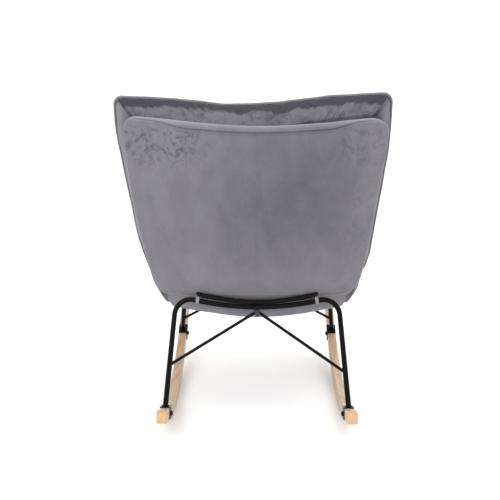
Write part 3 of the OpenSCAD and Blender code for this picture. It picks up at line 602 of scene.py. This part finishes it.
def tube_along(name, path, radius, sides, wobble, seed):
    """A cord swept along a path of points, with round ends."""
    n = len(path)
    k = np.arange(n)
    seg = np.linalg.norm(np.diff(path, axis=0), axis=1).mean()
    d = np.minimum(k, n - 1 - k) * seg
    r = radius * np.sqrt(clip01(1 - (1 - clip01(d / radius)) ** 2)) + 1e-5
    r = r * (1 + wobble * noise1(n, 7, seed))
    t = np.gradient(path, axis=0)
    t /= np.linalg.norm(t, axis=1)[:, None]
    ref = np.cross(t[0], [0.3, 0.5, 0.8])
    ref /= np.linalg.norm(ref)
    us = []
    for k in range(n):
        ref = ref - t[k] * (ref @ t[k])
        ref /= np.linalg.norm(ref)
        us.append(ref)
    us = np.stack(us)
    ws = np.cross(t, us)
    ang = np.linspace(0, 2 * np.pi, sides, endpoint=False)
    spokes = np.cos(ang)[None, :, None] * us[:, None, :] + np.sin(ang)[None, :, None] * ws[:, None, :]
    g = path[:, None, :] + r[:, None, None] * spokes
    return grid_object(name, g, 0.0, weld=1e-4)


def make_welt(edge, normal, nb):
    """Welt cord sewn round the cushion's front edge, from one hip to the other over the top."""
    first = nb + 18
    idx = np.arange(first, len(edge) - first + 1)
    path = edge[idx] + normal[idx] * 0.0016
    path[:, 2] += 0.0006 * noise1(len(path) + 40, 30, 71)[:len(path)]
    obj = tube_along("welt_cord", path, 0.0040, sides=12, wobble=0.05, seed=72)
    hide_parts("edge_piping")
    return obj


def rounded_section(w, h, r, n):
    """A closed rounded rectangle round the origin, n points, starting at its bottom middle."""
    a = np.radians(np.linspace(0, 90, 12))
    q = [np.array([[0.0, -h / 2]])]
    corners = ((w / 2 - r, -h / 2 + r, -90), (w / 2 - r, h / 2 - r, 0),
               (-w / 2 + r, h / 2 - r, 90), (-w / 2 + r, -h / 2 + r, 180))
    for cx, cz, start in corners:
        b = a + math.radians(start)
        q.append(np.stack([cx + r * np.cos(b), cz + r * np.sin(b)], -1))
    q.append(np.array([[0.0, -h / 2]]))
    return resample(np.concatenate(q), n)


# ---------------------------------------------------------------- seat, arms and belly

ARM_FRONT, ARM_LOW, ARM_TOP = -0.270, 0.318, 0.525
ARM_FOOT_X, ARM_KNEE_X, ARM_KNEE_Z = 0.268, 0.306, 0.4
ARM_NOSE_R = 0.060


def arm_out(z):
    low = ARM_FOOT_X + (ARM_KNEE_X - ARM_FOOT_X) * np.sqrt(clip01((z - ARM_LOW) / 0.082))
    return np.where(z < ARM_KNEE_Z, low, ARM_KNEE_X + (z - ARM_KNEE_Z) * (0.041 / 0.17))


def arm_in(z):
    return 0.242 + 0.1 * np.maximum(0, z - 0.38)


def arm_top(y):
    return ARM_TOP + 0.05 * (np.maximum(0, y - ARM_FRONT) / 0.44) ** 1.2


def front_plane(x, z):
    """Where the cushion's front edge stands at a side."""
    return back_y(z) - R + (R - FRONT_OFF) * np.sqrt(1 - (x / R) ** 2)


def make_arm(side):
    """A padded arm: a rounded section that leans outwards, swept from the front to the cushion's side."""
    cols, rows = 150, 120
    sec = rounded_section(1.0, 1.0, 0.34, cols)
    u, v = sec[:, 0], sec[:, 1]
    t = np.linspace(0, 1, rows)
    g = np.empty((rows, cols, 3))
    for i, f in enumerate(t):
        y0 = ARM_FRONT + (0.150 - ARM_FRONT) * f
        into = max(0.0, ARM_NOSE_R - (y0 - ARM_FRONT))
        cut = ARM_NOSE_R - math.sqrt(max(0.0, ARM_NOSE_R ** 2 - into ** 2))
        lo, hi = ARM_LOW + 0.5 * cut, arm_top(y0) - cut
        z = lo + (v + 0.5) * (hi - lo)
        mid, half = (arm_out(z) + arm_in(z)) / 2, (arm_out(z) - arm_in(z)) / 2
        nose = 1 - 0.45 * clip01(1 - (y0 - ARM_FRONT) / 0.035) ** 2.2
        tail = 1 - 0.35 * clip01((f - 0.93) / 0.07) ** 2
        x = mid + 2 * u * half * nose * tail
        end = front_plane(x, np.maximum(z, 0.36)) + 0.012
        end = end + (FRONT_OFF - SHELL_T - 0.014) * smooth(0.45 - z, 0, 0.06)
        y = ARM_FRONT + (end - ARM_FRONT) * f
        g[i, :, 0], g[i, :, 1], g[i, :, 2] = x, y, z
    def shut(row, n):
        c = row.mean(0)
        return spine_rows(row, c - [0, 0, 0.05], c + [0, 0, 0.05], n)
    front_rows = shut(g[0], 10)[::-1]
    back_rows = shut(g[-1], 6)
    g = np.concatenate([np.stack(front_rows), g, np.stack(back_rows)])
    cap = np.full(g.shape[:2], 0.006)
    g = puff(g, cap, coarse=(30, 40), pressure=3.0)
    n = normals(g)
    x, y, z = g[..., 0], g[..., 1], g[..., 2]
    top_line = arm_top(y) - z
    move = 0.0010 * cloud(y * 10, z * 12, 81 + (side < 0))
    outer = smooth(x - (arm_out(z) + arm_in(z)) / 2, 0, 0.01)
    move -= outer * 0.0022 * bump(top_line - 0.022, 0.0020)
    move += outer * 0.0008 * noise2(y * 60, 0 * y, 83) * bump(top_line - 0.030, 0.010)
    move += 0.0013 * noise2(y * 9 + z * 16, z * 4, 85) * smooth(0.42 - z, 0, 0.08)
    g = g + n * move[..., None]
    # Random cloudy tone, and painted shade in the seam groove along the outer side below the top
    nap_and_painted_light = 0.30 * clip01(cloud(y * 9, z * 11, 87)) + 0.25 * outer * bump(top_line - 0.022, 0.006)
    if side < 0:
        g = g * [-1, 1, 1]
    name = "left" if side > 0 else "right"
    obj = grid_object("arm_cover_" + name, g, nap_and_painted_light, weld=2e-5)
    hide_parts("arm_" + name)
    return obj


BELLY_HALF, BELLY_FRONT, BELLY_TOP = 0.237, -0.132, 0.3530
SEAT_FRONT, SEAT_REAR, BOARD_FRONT = -0.332, 0.096, -0.288
UNDER_SEAT = 0.3846
SEAT_HALF, SEAT_TOP, SEAT_CROWN = 0.239, 0.455, 0.018
UNDER_ROWS, SIDE_ROWS, TOP_ROWS = 10, 22, 70
CHANNEL_X = 0.08


def seat_outline(n, inset=0.0):
    half = SEAT_HALF - inset
    xs = np.linspace(-half, half, 80)
    rear = SEAT_REAR - inset - (R - FRONT_OFF) * (1 - np.sqrt(1 - (xs / R) ** 2))
    r = 0.055 - inset * 0.5
    a = np.radians(np.linspace(0, 90, 16))
    f = SEAT_FRONT + inset
    right = np.stack([half - r + r * np.cos(-a), f + r + r * np.sin(-a)], -1)
    left_c = right[::-1] * [-1, 1]
    pts = np.concatenate([[[0.0, f]], left_c, np.stack([xs, rear], -1), right, [[0.0, f]]])
    return resample(pts, n)


def make_seat():
    """The seat cushion: a crowned box cushion, welted round its top, whose front drops over the board."""
    cols = 440
    low_in, low_out = seat_outline(cols, 0.010), seat_outline(cols, 0.0)
    y = low_out[:, 1]
    z_low = np.where(y < BOARD_FRONT - 0.006, 0.352, UNDER_SEAT)
    z_low = np.convolve(np.concatenate([z_low[-6:], z_low, z_low[:6]]), np.ones(13) / 13, "valid")
    s = low_out[:, 0] / SEAT_HALF
    t = (y - SEAT_FRONT) / (SEAT_REAR - SEAT_FRONT)
    rim = SEAT_TOP - 0.012 * s ** 2 - 0.014 * t - SEAT_CROWN
    rows = []
    sa, sb = np.array([-0.11, -0.12]), np.array([0.11, -0.12])
    under = spine_rows(low_in, sa, sb, UNDER_ROWS)
    for k, xy in enumerate(under[::-1]):
        drop = smooth(k / (UNDER_ROWS - 1), 0.93, 1.0) * (xy[:, 1] < BOARD_FRONT)
        rows.append(np.column_stack([xy, UNDER_SEAT + (z_low - UNDER_SEAT) * drop]))
    for f in np.linspace(0, 1, SIDE_ROWS):
        side = low_out + (low_in - low_out) * (0.35 * (1 - math.sin(math.pi * f)) ** 2)
        rows.append(np.column_stack([side, z_low + (rim - z_low) * f]))
    top_rows = spine_rows(low_out + (low_in - low_out) * 0.35, sa, sb, TOP_ROWS)
    for k, xy in enumerate(top_rows):
        d = (k + 1) / TOP_ROWS
        rows.append(np.column_stack([xy, rim + SEAT_CROWN * (1 - (1 - min(1, d * 3.2)) ** 2)]))
    g = np.stack(rows)
    kind = np.array([0] * UNDER_ROWS + [1] * SIDE_ROWS + [2] * TOP_ROWS)
    cap = np.where(kind == 2, 0.010, np.where(kind == 1, 0.004, 0.0002)).astype(float)
    cap = np.broadcast_to(cap[:, None], g.shape[:2]).copy()
    cap[kind == 2] *= (0.4 + 0.6 * smooth(np.arange(TOP_ROWS), 0, 14))[:, None]
    g = puff(g, cap, coarse=(34, 110))
    n = normals(g)
    x, yy, z = g[..., 0], g[..., 1], g[..., 2]
    top = kind[:, None] == 2
    dist = np.arange(len(kind))[:, None] - (UNDER_ROWS + SIDE_ROWS)
    move = np.zeros(g.shape[:2])
    for tx in (-CHANNEL_X, CHANNEL_X):
        move -= top * 0.0045 * bump(x - tx, 0.0045) * smooth(yy, SEAT_FRONT + 0.01, SEAT_FRONT + 0.03)
        move += top * 0.0012 * noise2(yy * 55, x * 0 + tx * 50, 91) * bump(x - tx, 0.015)
    move += (0.0011 * cloud(x * 10, yy * 10, 92)) * (kind[:, None] > 0)
    move += 0.0012 * noise1(cols, 12, 93)[None, :] * bump(dist - 1, 5.0)
    move -= 0.0022 * bump(dist, 1.2)
    g = g + n * move[..., None]
    # Random cloudy tone, and painted shade in the two stitched channels
    nap_and_painted_light = top * (0.30 * clip01(cloud(x * 8, yy * 8, 94)) + 0.25 * bump(x - CHANNEL_X, 0.012)
                 + 0.25 * bump(x + CHANNEL_X, 0.012))
    obj = grid_object("seat_cover", g, nap_and_painted_light, weld=2e-5)
    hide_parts("seat_cushion")
    edge = g[UNDER_ROWS + SIDE_ROWS]
    at = np.argmin(np.abs(edge[:, 0]) - edge[:, 1])
    path = np.roll(edge, -at, axis=0)
    path = np.concatenate([path, path[:1]]) + [0, 0, 0.001]
    welt = tube_along("seat_welt", path[2:-2], 0.0036, sides=10, wobble=0.05, seed=95)
    welt.parent = obj
    return obj, welt


def make_belly():
    """The soft underside between the shell and the frame: a thin sagging pad with fine cross wrinkles."""
    cols = 420
    def rear_y(x):
        return LOW_Y - 0.004 - R + np.sqrt(R * R - x * x)
    def ring(inset):
        h = BELLY_HALF - inset
        a = np.linspace(0, 1, 30)
        wide = h + 0.024 * smooth(a, 0.25, 0.85)
        x = np.linspace(-wide[-1], wide[-1], 120)
        f = BELLY_FRONT + inset
        end = rear_y(wide[-1]) - inset
        side = np.column_stack([wide, f + 0.02 + (end - f - 0.02) * a])
        rear = np.stack([x, rear_y(x) - inset], -1)
        middle = [[0.0, f]]
        pts = np.concatenate([middle, [[-h + 0.02, f]], side * [-1, 1], rear[1:-1], side[::-1],
                              [[h - 0.02, f]], middle])
        return resample(pts, cols)
    def low_z(x, y):
        t = clip01((y - BELLY_FRONT) / (rear_y(x) - BELLY_FRONT))
        return 0.328 + (0.286 + 0.020 * (np.abs(x) / BELLY_HALF) ** 1.5 - 0.328) * t
    rows = []
    sa, sb = np.array([-0.15, 0.03]), np.array([0.15, 0.03])
    top_z = BELLY_TOP
    inner = spine_rows(ring(0.004), sa, sb, 8)
    rows += [np.column_stack([r, np.full(cols, top_z)]) for r in inner[::-1]]
    for f in np.linspace(0, 1, 40):
        ang = f * math.pi / 2
        inset = 0.022 * (1 - math.cos(ang)) + 0.003 * (1 - f) ** 3
        xy = ring(inset)
        rows.append(np.column_stack([xy, top_z - (top_z - low_z(xy[:, 0], xy[:, 1])) * np.sin(ang) ** 1.1]))
    down = spine_rows(ring(0.022), sa, sb, 50)
    rows += [np.column_stack([r, low_z(r[:, 0], r[:, 1])]) for r in down]
    g = np.stack(rows)
    kind = np.array([0] * 8 + [1] * 40 + [2] * 50)
    cap = np.broadcast_to(np.where(kind == 0, 0.0002, 0.003)[:, None], g.shape[:2]).copy()
    g = puff(g, cap, coarse=(26, 80), pressure=3.0)
    n = normals(g)
    x, y, z = g[..., 0], g[..., 1], g[..., 2]
    w = (kind[:, None] > 0)
    move = w * (0.0013 * noise2(x * 7, z * 95 + y * 20, 101) + 0.0009 * noise2(x * 16, z * 190 + y * 40, 102)
                + 0.0010 * cloud(x * 9, y * 9, 103))
    g = g + n * move[..., None]
    obj = grid_object("belly_cover", g, 0.12 * w * clip01(cloud(x * 14, y * 14, 104)), weld=2e-5)
    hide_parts("seat_base_pad")
    return obj


# ---------------------------------------------------------------- materials

def material(name):
    m = bpy.data.materials.new(name)
    m.use_nodes = True
    nt = m.node_tree
    nt.nodes.clear()
    out = nt.nodes.new("ShaderNodeOutputMaterial")
    bsdf = nt.nodes.new("ShaderNodeBsdfPrincipled")
    nt.links.new(bsdf.outputs[0], out.inputs[0])
    return m, nt, bsdf


def node(nt, kind, ins=None, **props):
    n = nt.nodes.new(kind)
    for k, v in props.items():
        setattr(n, k, v)
    for k, v in (ins or {}).items():
        if isinstance(v, bpy.types.NodeSocket):
            nt.links.new(v, n.inputs[k])
        else:
            n.inputs[k].default_value = v
    return n


def place(nt, scale=(1, 1, 1)):
    tc = node(nt, "ShaderNodeTexCoord")
    mp = node(nt, "ShaderNodeMapping", {"Vector": tc.outputs["Object"], "Scale": scale})
    return mp.outputs[0]


def noise_tex(nt, vec, scale, detail=3.0, rough=0.5, distortion=0.0):
    ins = {"Vector": vec, "Scale": scale, "Detail": detail, "Roughness": rough, "Distortion": distortion}
    return node(nt, "ShaderNodeTexNoise", ins).outputs["Fac"]


def ramp(nt, fac, stops):
    r = node(nt, "ShaderNodeValToRGB", {"Fac": fac})
    el = r.color_ramp.elements
    while len(el) < len(stops):
        el.new(0.5)
    for e, (pos, col) in zip(el, stops):
        e.position = pos
        e.color = (*col, 1)
    return r.outputs["Color"]


def mix(nt, fac, a, b):
    m = node(nt, "ShaderNodeMix", data_type="RGBA")
    for sock, v in ((m.inputs[0], fac), (m.inputs[6], a), (m.inputs[7], b)):
        if isinstance(v, bpy.types.NodeSocket):
            nt.links.new(v, sock)
        else:
            sock.default_value = (*v, 1) if isinstance(v, tuple) else v
    return m.outputs[2]


def math_node(nt, op, *ins):
    m = node(nt, "ShaderNodeMath", operation=op)
    for i, v in enumerate(ins):
        if isinstance(v, bpy.types.NodeSocket):
            nt.links.new(v, m.inputs[i])
        else:
            m.inputs[i].default_value = v
    return m.outputs[0]


def velvet(name, tone=1.0, sheen=0.24):
    """Short pile: a soft colour that shifts with the pile's lie and with painted shade and painted highlights
    from the mesh, a bright sheen, and a fine pile bump.
    """
    m, nt, b = material(name)
    vec = place(nt)
    base = tuple(tone * c for c in (0.178, 0.171, 0.191))
    dark = tuple(tone * c for c in (0.030, 0.028, 0.039))
    light = tuple(tone * c for c in (0.290, 0.280, 0.305))
    broad = noise_tex(nt, vec, 5.0, 3.0, 0.55, 0.4)
    col = mix(nt, math_node(nt, "MULTIPLY", broad, 0.16), base, light)
    brushed = noise_tex(nt, place(nt, (17, 17, 9)), 1.0, 6.0, 0.62, 0.3)
    col = mix(nt, ramp(nt, brushed, [(0.40, (0.16, 0.16, 0.16)), (0.64, (0, 0, 0))]), col, dark)
    fine = noise_tex(nt, vec, 300.0, 2.0, 0.6)
    col = mix(nt, math_node(nt, "MULTIPLY", fine, 0.22), col, dark)
    # The mesh value darkens the colour by the pile's lie and by painted shade
    nap_and_painted_light = node(nt, "ShaderNodeAttribute", attribute_name="nap_and_painted_light").outputs["Fac"]
    patch = noise_tex(nt, vec, 38.0, 4.0, 0.62, 0.8)
    amount = math_node(nt, "MULTIPLY", nap_and_painted_light, math_node(nt, "ADD", 0.55, math_node(nt, "MULTIPLY", patch, 0.8)))
    amount = math_node(nt, "MINIMUM", math_node(nt, "MAXIMUM", amount, 0.0), 0.94)
    col = mix(nt, amount, col, dark)
    # Below zero it lightens the colour: painted highlight
    lift = math_node(nt, "MULTIPLY", nap_and_painted_light, -1.0)
    col = mix(nt, math_node(nt, "MINIMUM", math_node(nt, "MAXIMUM", lift, 0.0), 0.9), col, light)
    mottle = node(nt, "ShaderNodeAttribute", attribute_name="mottle").outputs["Fac"]
    spots = ramp(nt, noise_tex(nt, vec, 40.0, 6.0, 0.62, 1.3), [(0.47, (0, 0, 0)), (0.62, (1, 1, 1))])
    col = mix(nt, math_node(nt, "MULTIPLY", math_node(nt, "MULTIPLY", mottle, spots), 0.55), col, dark)
    nt.links.new(col, b.inputs["Base Color"])
    b.inputs["Roughness"].default_value = 0.92
    b.inputs["Specular IOR Level"].default_value = 0.18
    b.inputs["Sheen Weight"].default_value = sheen
    b.inputs["Sheen Roughness"].default_value = 0.42
    b.inputs["Sheen Tint"].default_value = (0.86, 0.84, 0.92, 1)
    pile = noise_tex(nt, vec, 900.0, 2.0, 0.6)
    soft = noise_tex(nt, vec, 60.0, 3.0, 0.6)
    b1 = node(nt, "ShaderNodeBump", {"Strength": 0.22, "Distance": 0.0006, "Height": pile})
    folds = {"Strength": 0.25, "Distance": 0.0010, "Height": soft, "Normal": b1.outputs[0]}
    b2 = node(nt, "ShaderNodeBump", folds)
    nt.links.new(b2.outputs[0], b.inputs["Normal"])
    return m


def bent_wood(name, centre_y, centre_z):
    """Bent beech: the grain runs along the rocker's arc, with growth lines and pores."""
    m, nt, b = material(name)
    tc = node(nt, "ShaderNodeTexCoord")
    sep = node(nt, "ShaderNodeSeparateXYZ", {0: tc.outputs["Object"]})
    dy = math_node(nt, "SUBTRACT", sep.outputs[1], centre_y)
    dz = math_node(nt, "SUBTRACT", centre_z, sep.outputs[2])
    ang = math_node(nt, "ARCTAN2", dy, dz)
    dy2, dz2 = math_node(nt, "MULTIPLY", dy, dy), math_node(nt, "MULTIPLY", dz, dz)
    rad = math_node(nt, "SQRT", math_node(nt, "ADD", dy2, dz2))
    along = node(nt, "ShaderNodeCombineXYZ", {0: sep.outputs[0], 1: ang, 2: rad}).outputs[0]
    slow = node(nt, "ShaderNodeMapping", {"Vector": along, "Scale": (16, 2.2, 22)}).outputs[0]
    warp = noise_tex(nt, slow, 1.0, 2.0, 0.5)
    rings = node(nt, "ShaderNodeMapping", {"Vector": along, "Scale": (120, 1.2, 150)}).outputs[0]
    lines = noise_tex(nt, rings, 1.0, 4.0, 0.6, 0.6)
    bent = math_node(nt, "ADD", warp, math_node(nt, "MULTIPLY", lines, 0.08))
    growth = math_node(nt, "SINE", math_node(nt, "MULTIPLY", bent, 46.0))
    pore_at = node(nt, "ShaderNodeMapping", {"Vector": along, "Scale": (900, 30, 900)}).outputs[0]
    pores = noise_tex(nt, pore_at, 1.0, 1.0, 0.5)
    grain = ramp(nt, lines, [(0.30, (0, 0, 0)), (0.72, (1, 1, 1))])
    col = mix(nt, grain, (0.455, 0.285, 0.165), (0.560, 0.378, 0.238))
    dark_line = math_node(nt, "POWER", math_node(nt, "MAXIMUM", growth, 0.0), 3.0)
    col = mix(nt, math_node(nt, "MULTIPLY", dark_line, 0.75), col, (0.350, 0.200, 0.104))
    col = mix(nt, ramp(nt, pores, [(0.60, (0, 0, 0)), (0.72, (0.5, 0.5, 0.5))]), col, (0.300, 0.167, 0.086))
    # The cut ends are warmer
    ends = math_node(nt, "ABSOLUTE", sep.outputs[1])
    end_fac = ramp(nt, ends, [(0.400, (0, 0, 0)), (0.428, (0.55, 0.55, 0.55))])
    col = mix(nt, end_fac, col, (0.67, 0.385, 0.175))
    nt.links.new(col, b.inputs["Base Color"])
    b.inputs["Roughness"].default_value = 0.42
    b.inputs["Coat Weight"].default_value = 0.18
    b.inputs["Coat Roughness"].default_value = 0.3
    bmp = node(nt, "ShaderNodeBump", {"Strength": 0.12, "Distance": 0.0006, "Height": lines})
    nt.links.new(bmp.outputs[0], b.inputs["Normal"])
    return m


def paint(name, colour, rough=0.38, speck=0.02, metallic=0.0, gloss=0.5):
    """Powder coat: a fine orange-peel bump and slight wear in its gloss."""
    m, nt, b = material(name)
    vec = place(nt)
    n1 = noise_tex(nt, vec, 14.0, 4.0, 0.6)
    n2 = noise_tex(nt, vec, 900.0, 2.0, 0.5)
    lift = tuple(c + speck for c in colour)
    worn = ramp(nt, n1, [(0.4, (0, 0, 0)), (0.75, (1, 1, 1))])
    nt.links.new(mix(nt, worn, colour, lift), b.inputs["Base Color"])
    r = node(nt, "ShaderNodeMapRange", {"Value": n1, "To Min": rough - 0.06, "To Max": rough + 0.10})
    nt.links.new(r.outputs[0], b.inputs["Roughness"])
    b.inputs["Metallic"].default_value = metallic
    b.inputs["Specular IOR Level"].default_value = gloss
    bmp = node(nt, "ShaderNodeBump", {"Strength": 0.10, "Distance": 0.0003, "Height": n2})
    nt.links.new(bmp.outputs[0], b.inputs["Normal"])
    return m


def plywood(name):
    """Birch ply: fine lines along the face, and thin darker layers where it is cut."""
    m, nt, b = material(name)
    grain = noise_tex(nt, place(nt, (90, 7, 90)), 1.0, 4.0, 0.6, 0.4)
    layers = noise_tex(nt, place(nt, (2, 2, 700)), 1.0, 1.0, 0.5)
    col = mix(nt, grain, (0.60, 0.43, 0.27), (0.74, 0.58, 0.40))
    col = mix(nt, math_node(nt, "MULTIPLY", layers, 0.3), col, (0.42, 0.28, 0.16))
    nt.links.new(col, b.inputs["Base Color"])
    b.inputs["Roughness"].default_value = 0.6
    bmp = node(nt, "ShaderNodeBump", {"Strength": 0.15, "Distance": 0.0005, "Height": grain})
    nt.links.new(bmp.outputs[0], b.inputs["Normal"])
    return m


def assign(obj, mat):
    obj.data.materials.clear()
    obj.data.materials.append(mat)


velvet_mat = velvet("velvet")
# Lighter copies of the velvet: painted light from below on the underside, and a painted highlight on the welt
# cords
belly_mat = velvet("belly_velvet", tone=1.25)
welt_mat = velvet("welt_velvet", tone=1.12)
rockers_mat = bent_wood("bent_wood", 0.069, 1.0)
black_mat = paint("black_paint", (0.0035, 0.0035, 0.0040), rough=0.15, speck=0.001, gloss=0.08)
bolt_mat = paint("black_bolt", (0.006, 0.006, 0.0065), rough=0.24, speck=0.002, gloss=0.12)
tab_mat = paint("tab_paint", (0.030, 0.030, 0.032), rough=0.42, speck=0.02, gloss=0.3)
zinc_mat = paint("zinc_steel", (0.50, 0.50, 0.52), rough=0.32, speck=0.06, metallic=1.0)
brass_mat = paint("brass", (0.66, 0.50, 0.22), rough=0.30, speck=0.05, metallic=1.0)
clip_mat = paint("clip_plastic", (0.20, 0.188, 0.172), rough=0.55, speck=0.04)
ply_mat = plywood("plywood")
NODE_MATERIALS = {
    "rocker_wood": rockers_mat, "plywood": ply_mat, "black_frame": black_mat, "tab_metal": tab_mat,
    "black_bolts": bolt_mat, "zinc_steel": zinc_mat, "insert_brass": brass_mat,
    "clip_plastic": clip_mat, "velvet": velvet_mat, "piping": welt_mat,
}
for part in frame["record"]["subparts"]:
    obj = frame["nodes"][part["node"]]
    mat = NODE_MATERIALS[part["material_slot"]]
    if not obj.material_slots:
        obj.data.materials.append(mat)
    for own in obj.material_slots:
        own.material = mat

# ---------------------------------------------------------------- build the soft pieces

shell = make_shell()
cushion, front_edge = make_cushion()
made = [(shell, velvet_mat, "velvet"), (cushion, velvet_mat, "velvet"),
        (make_welt(*front_edge), welt_mat, "piping"), (make_arm(1), velvet_mat, "velvet"),
        (make_arm(-1), velvet_mat, "velvet"), (make_belly(), belly_mat, "velvet")]
seat, seat_welt = make_seat()
made += [(seat, velvet_mat, "velvet"), (seat_welt, welt_mat, "piping")]
for obj, mat, slot_name in made:
    assign(obj, mat)
    if obj.parent is None:
        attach(obj, "root")

# ---------------------------------------------------------------- floor and light

floor_mesh = bpy.data.meshes.new("floor")
floor_mesh.from_pydata([(-12, -12, 0), (12, -12, 0), (12, 12, 0), (-12, 12, 0)], [], [(0, 1, 2, 3)])
floor = bpy.data.objects.new("floor", floor_mesh)
floor.location.z = min(0.0, cad_box[0][2])
bpy.context.scene.collection.objects.link(floor)
floor_mat, fnt, fb = material("floor")
fb.inputs["Base Color"].default_value = (0.99, 0.99, 0.99, 1)
fb.inputs["Roughness"].default_value = 0.8
assign(floor, floor_mat)

world = bpy.data.worlds.new("studio")
bpy.context.scene.world = world
world.use_nodes = True
world.node_tree.nodes["Background"].inputs[0].default_value = (1.0, 1.0, 1.0, 1)
world.node_tree.nodes["Background"].inputs[1].default_value = 1.22


def area(name, at, to, size, power, colour=(1, 1, 1)):
    data = bpy.data.lights.new(name, "AREA")
    data.shape = "RECTANGLE"
    data.size, data.size_y = size
    data.energy = power
    data.color = colour
    obj = bpy.data.objects.new(name, data)
    obj.location = at
    obj.rotation_euler = (Vector(to) - Vector(at)).to_track_quat("-Z", "Y").to_euler()
    bpy.context.scene.collection.objects.link(obj)
    return obj


area("key", (1.7, 2.6, 2.6), (0, 0.2, 0.6), (1.6, 1.6), 26)
area("top", (-0.2, 0.4, 3.0), (0, 0.2, 0.5), (2.2, 1.4), 22)
area("front", (-1.2, -2.6, 1.9), (0, 0, 0.5), (1.6, 1.6), 18)
bpy.context.scene.view_settings.view_transform = "Standard"
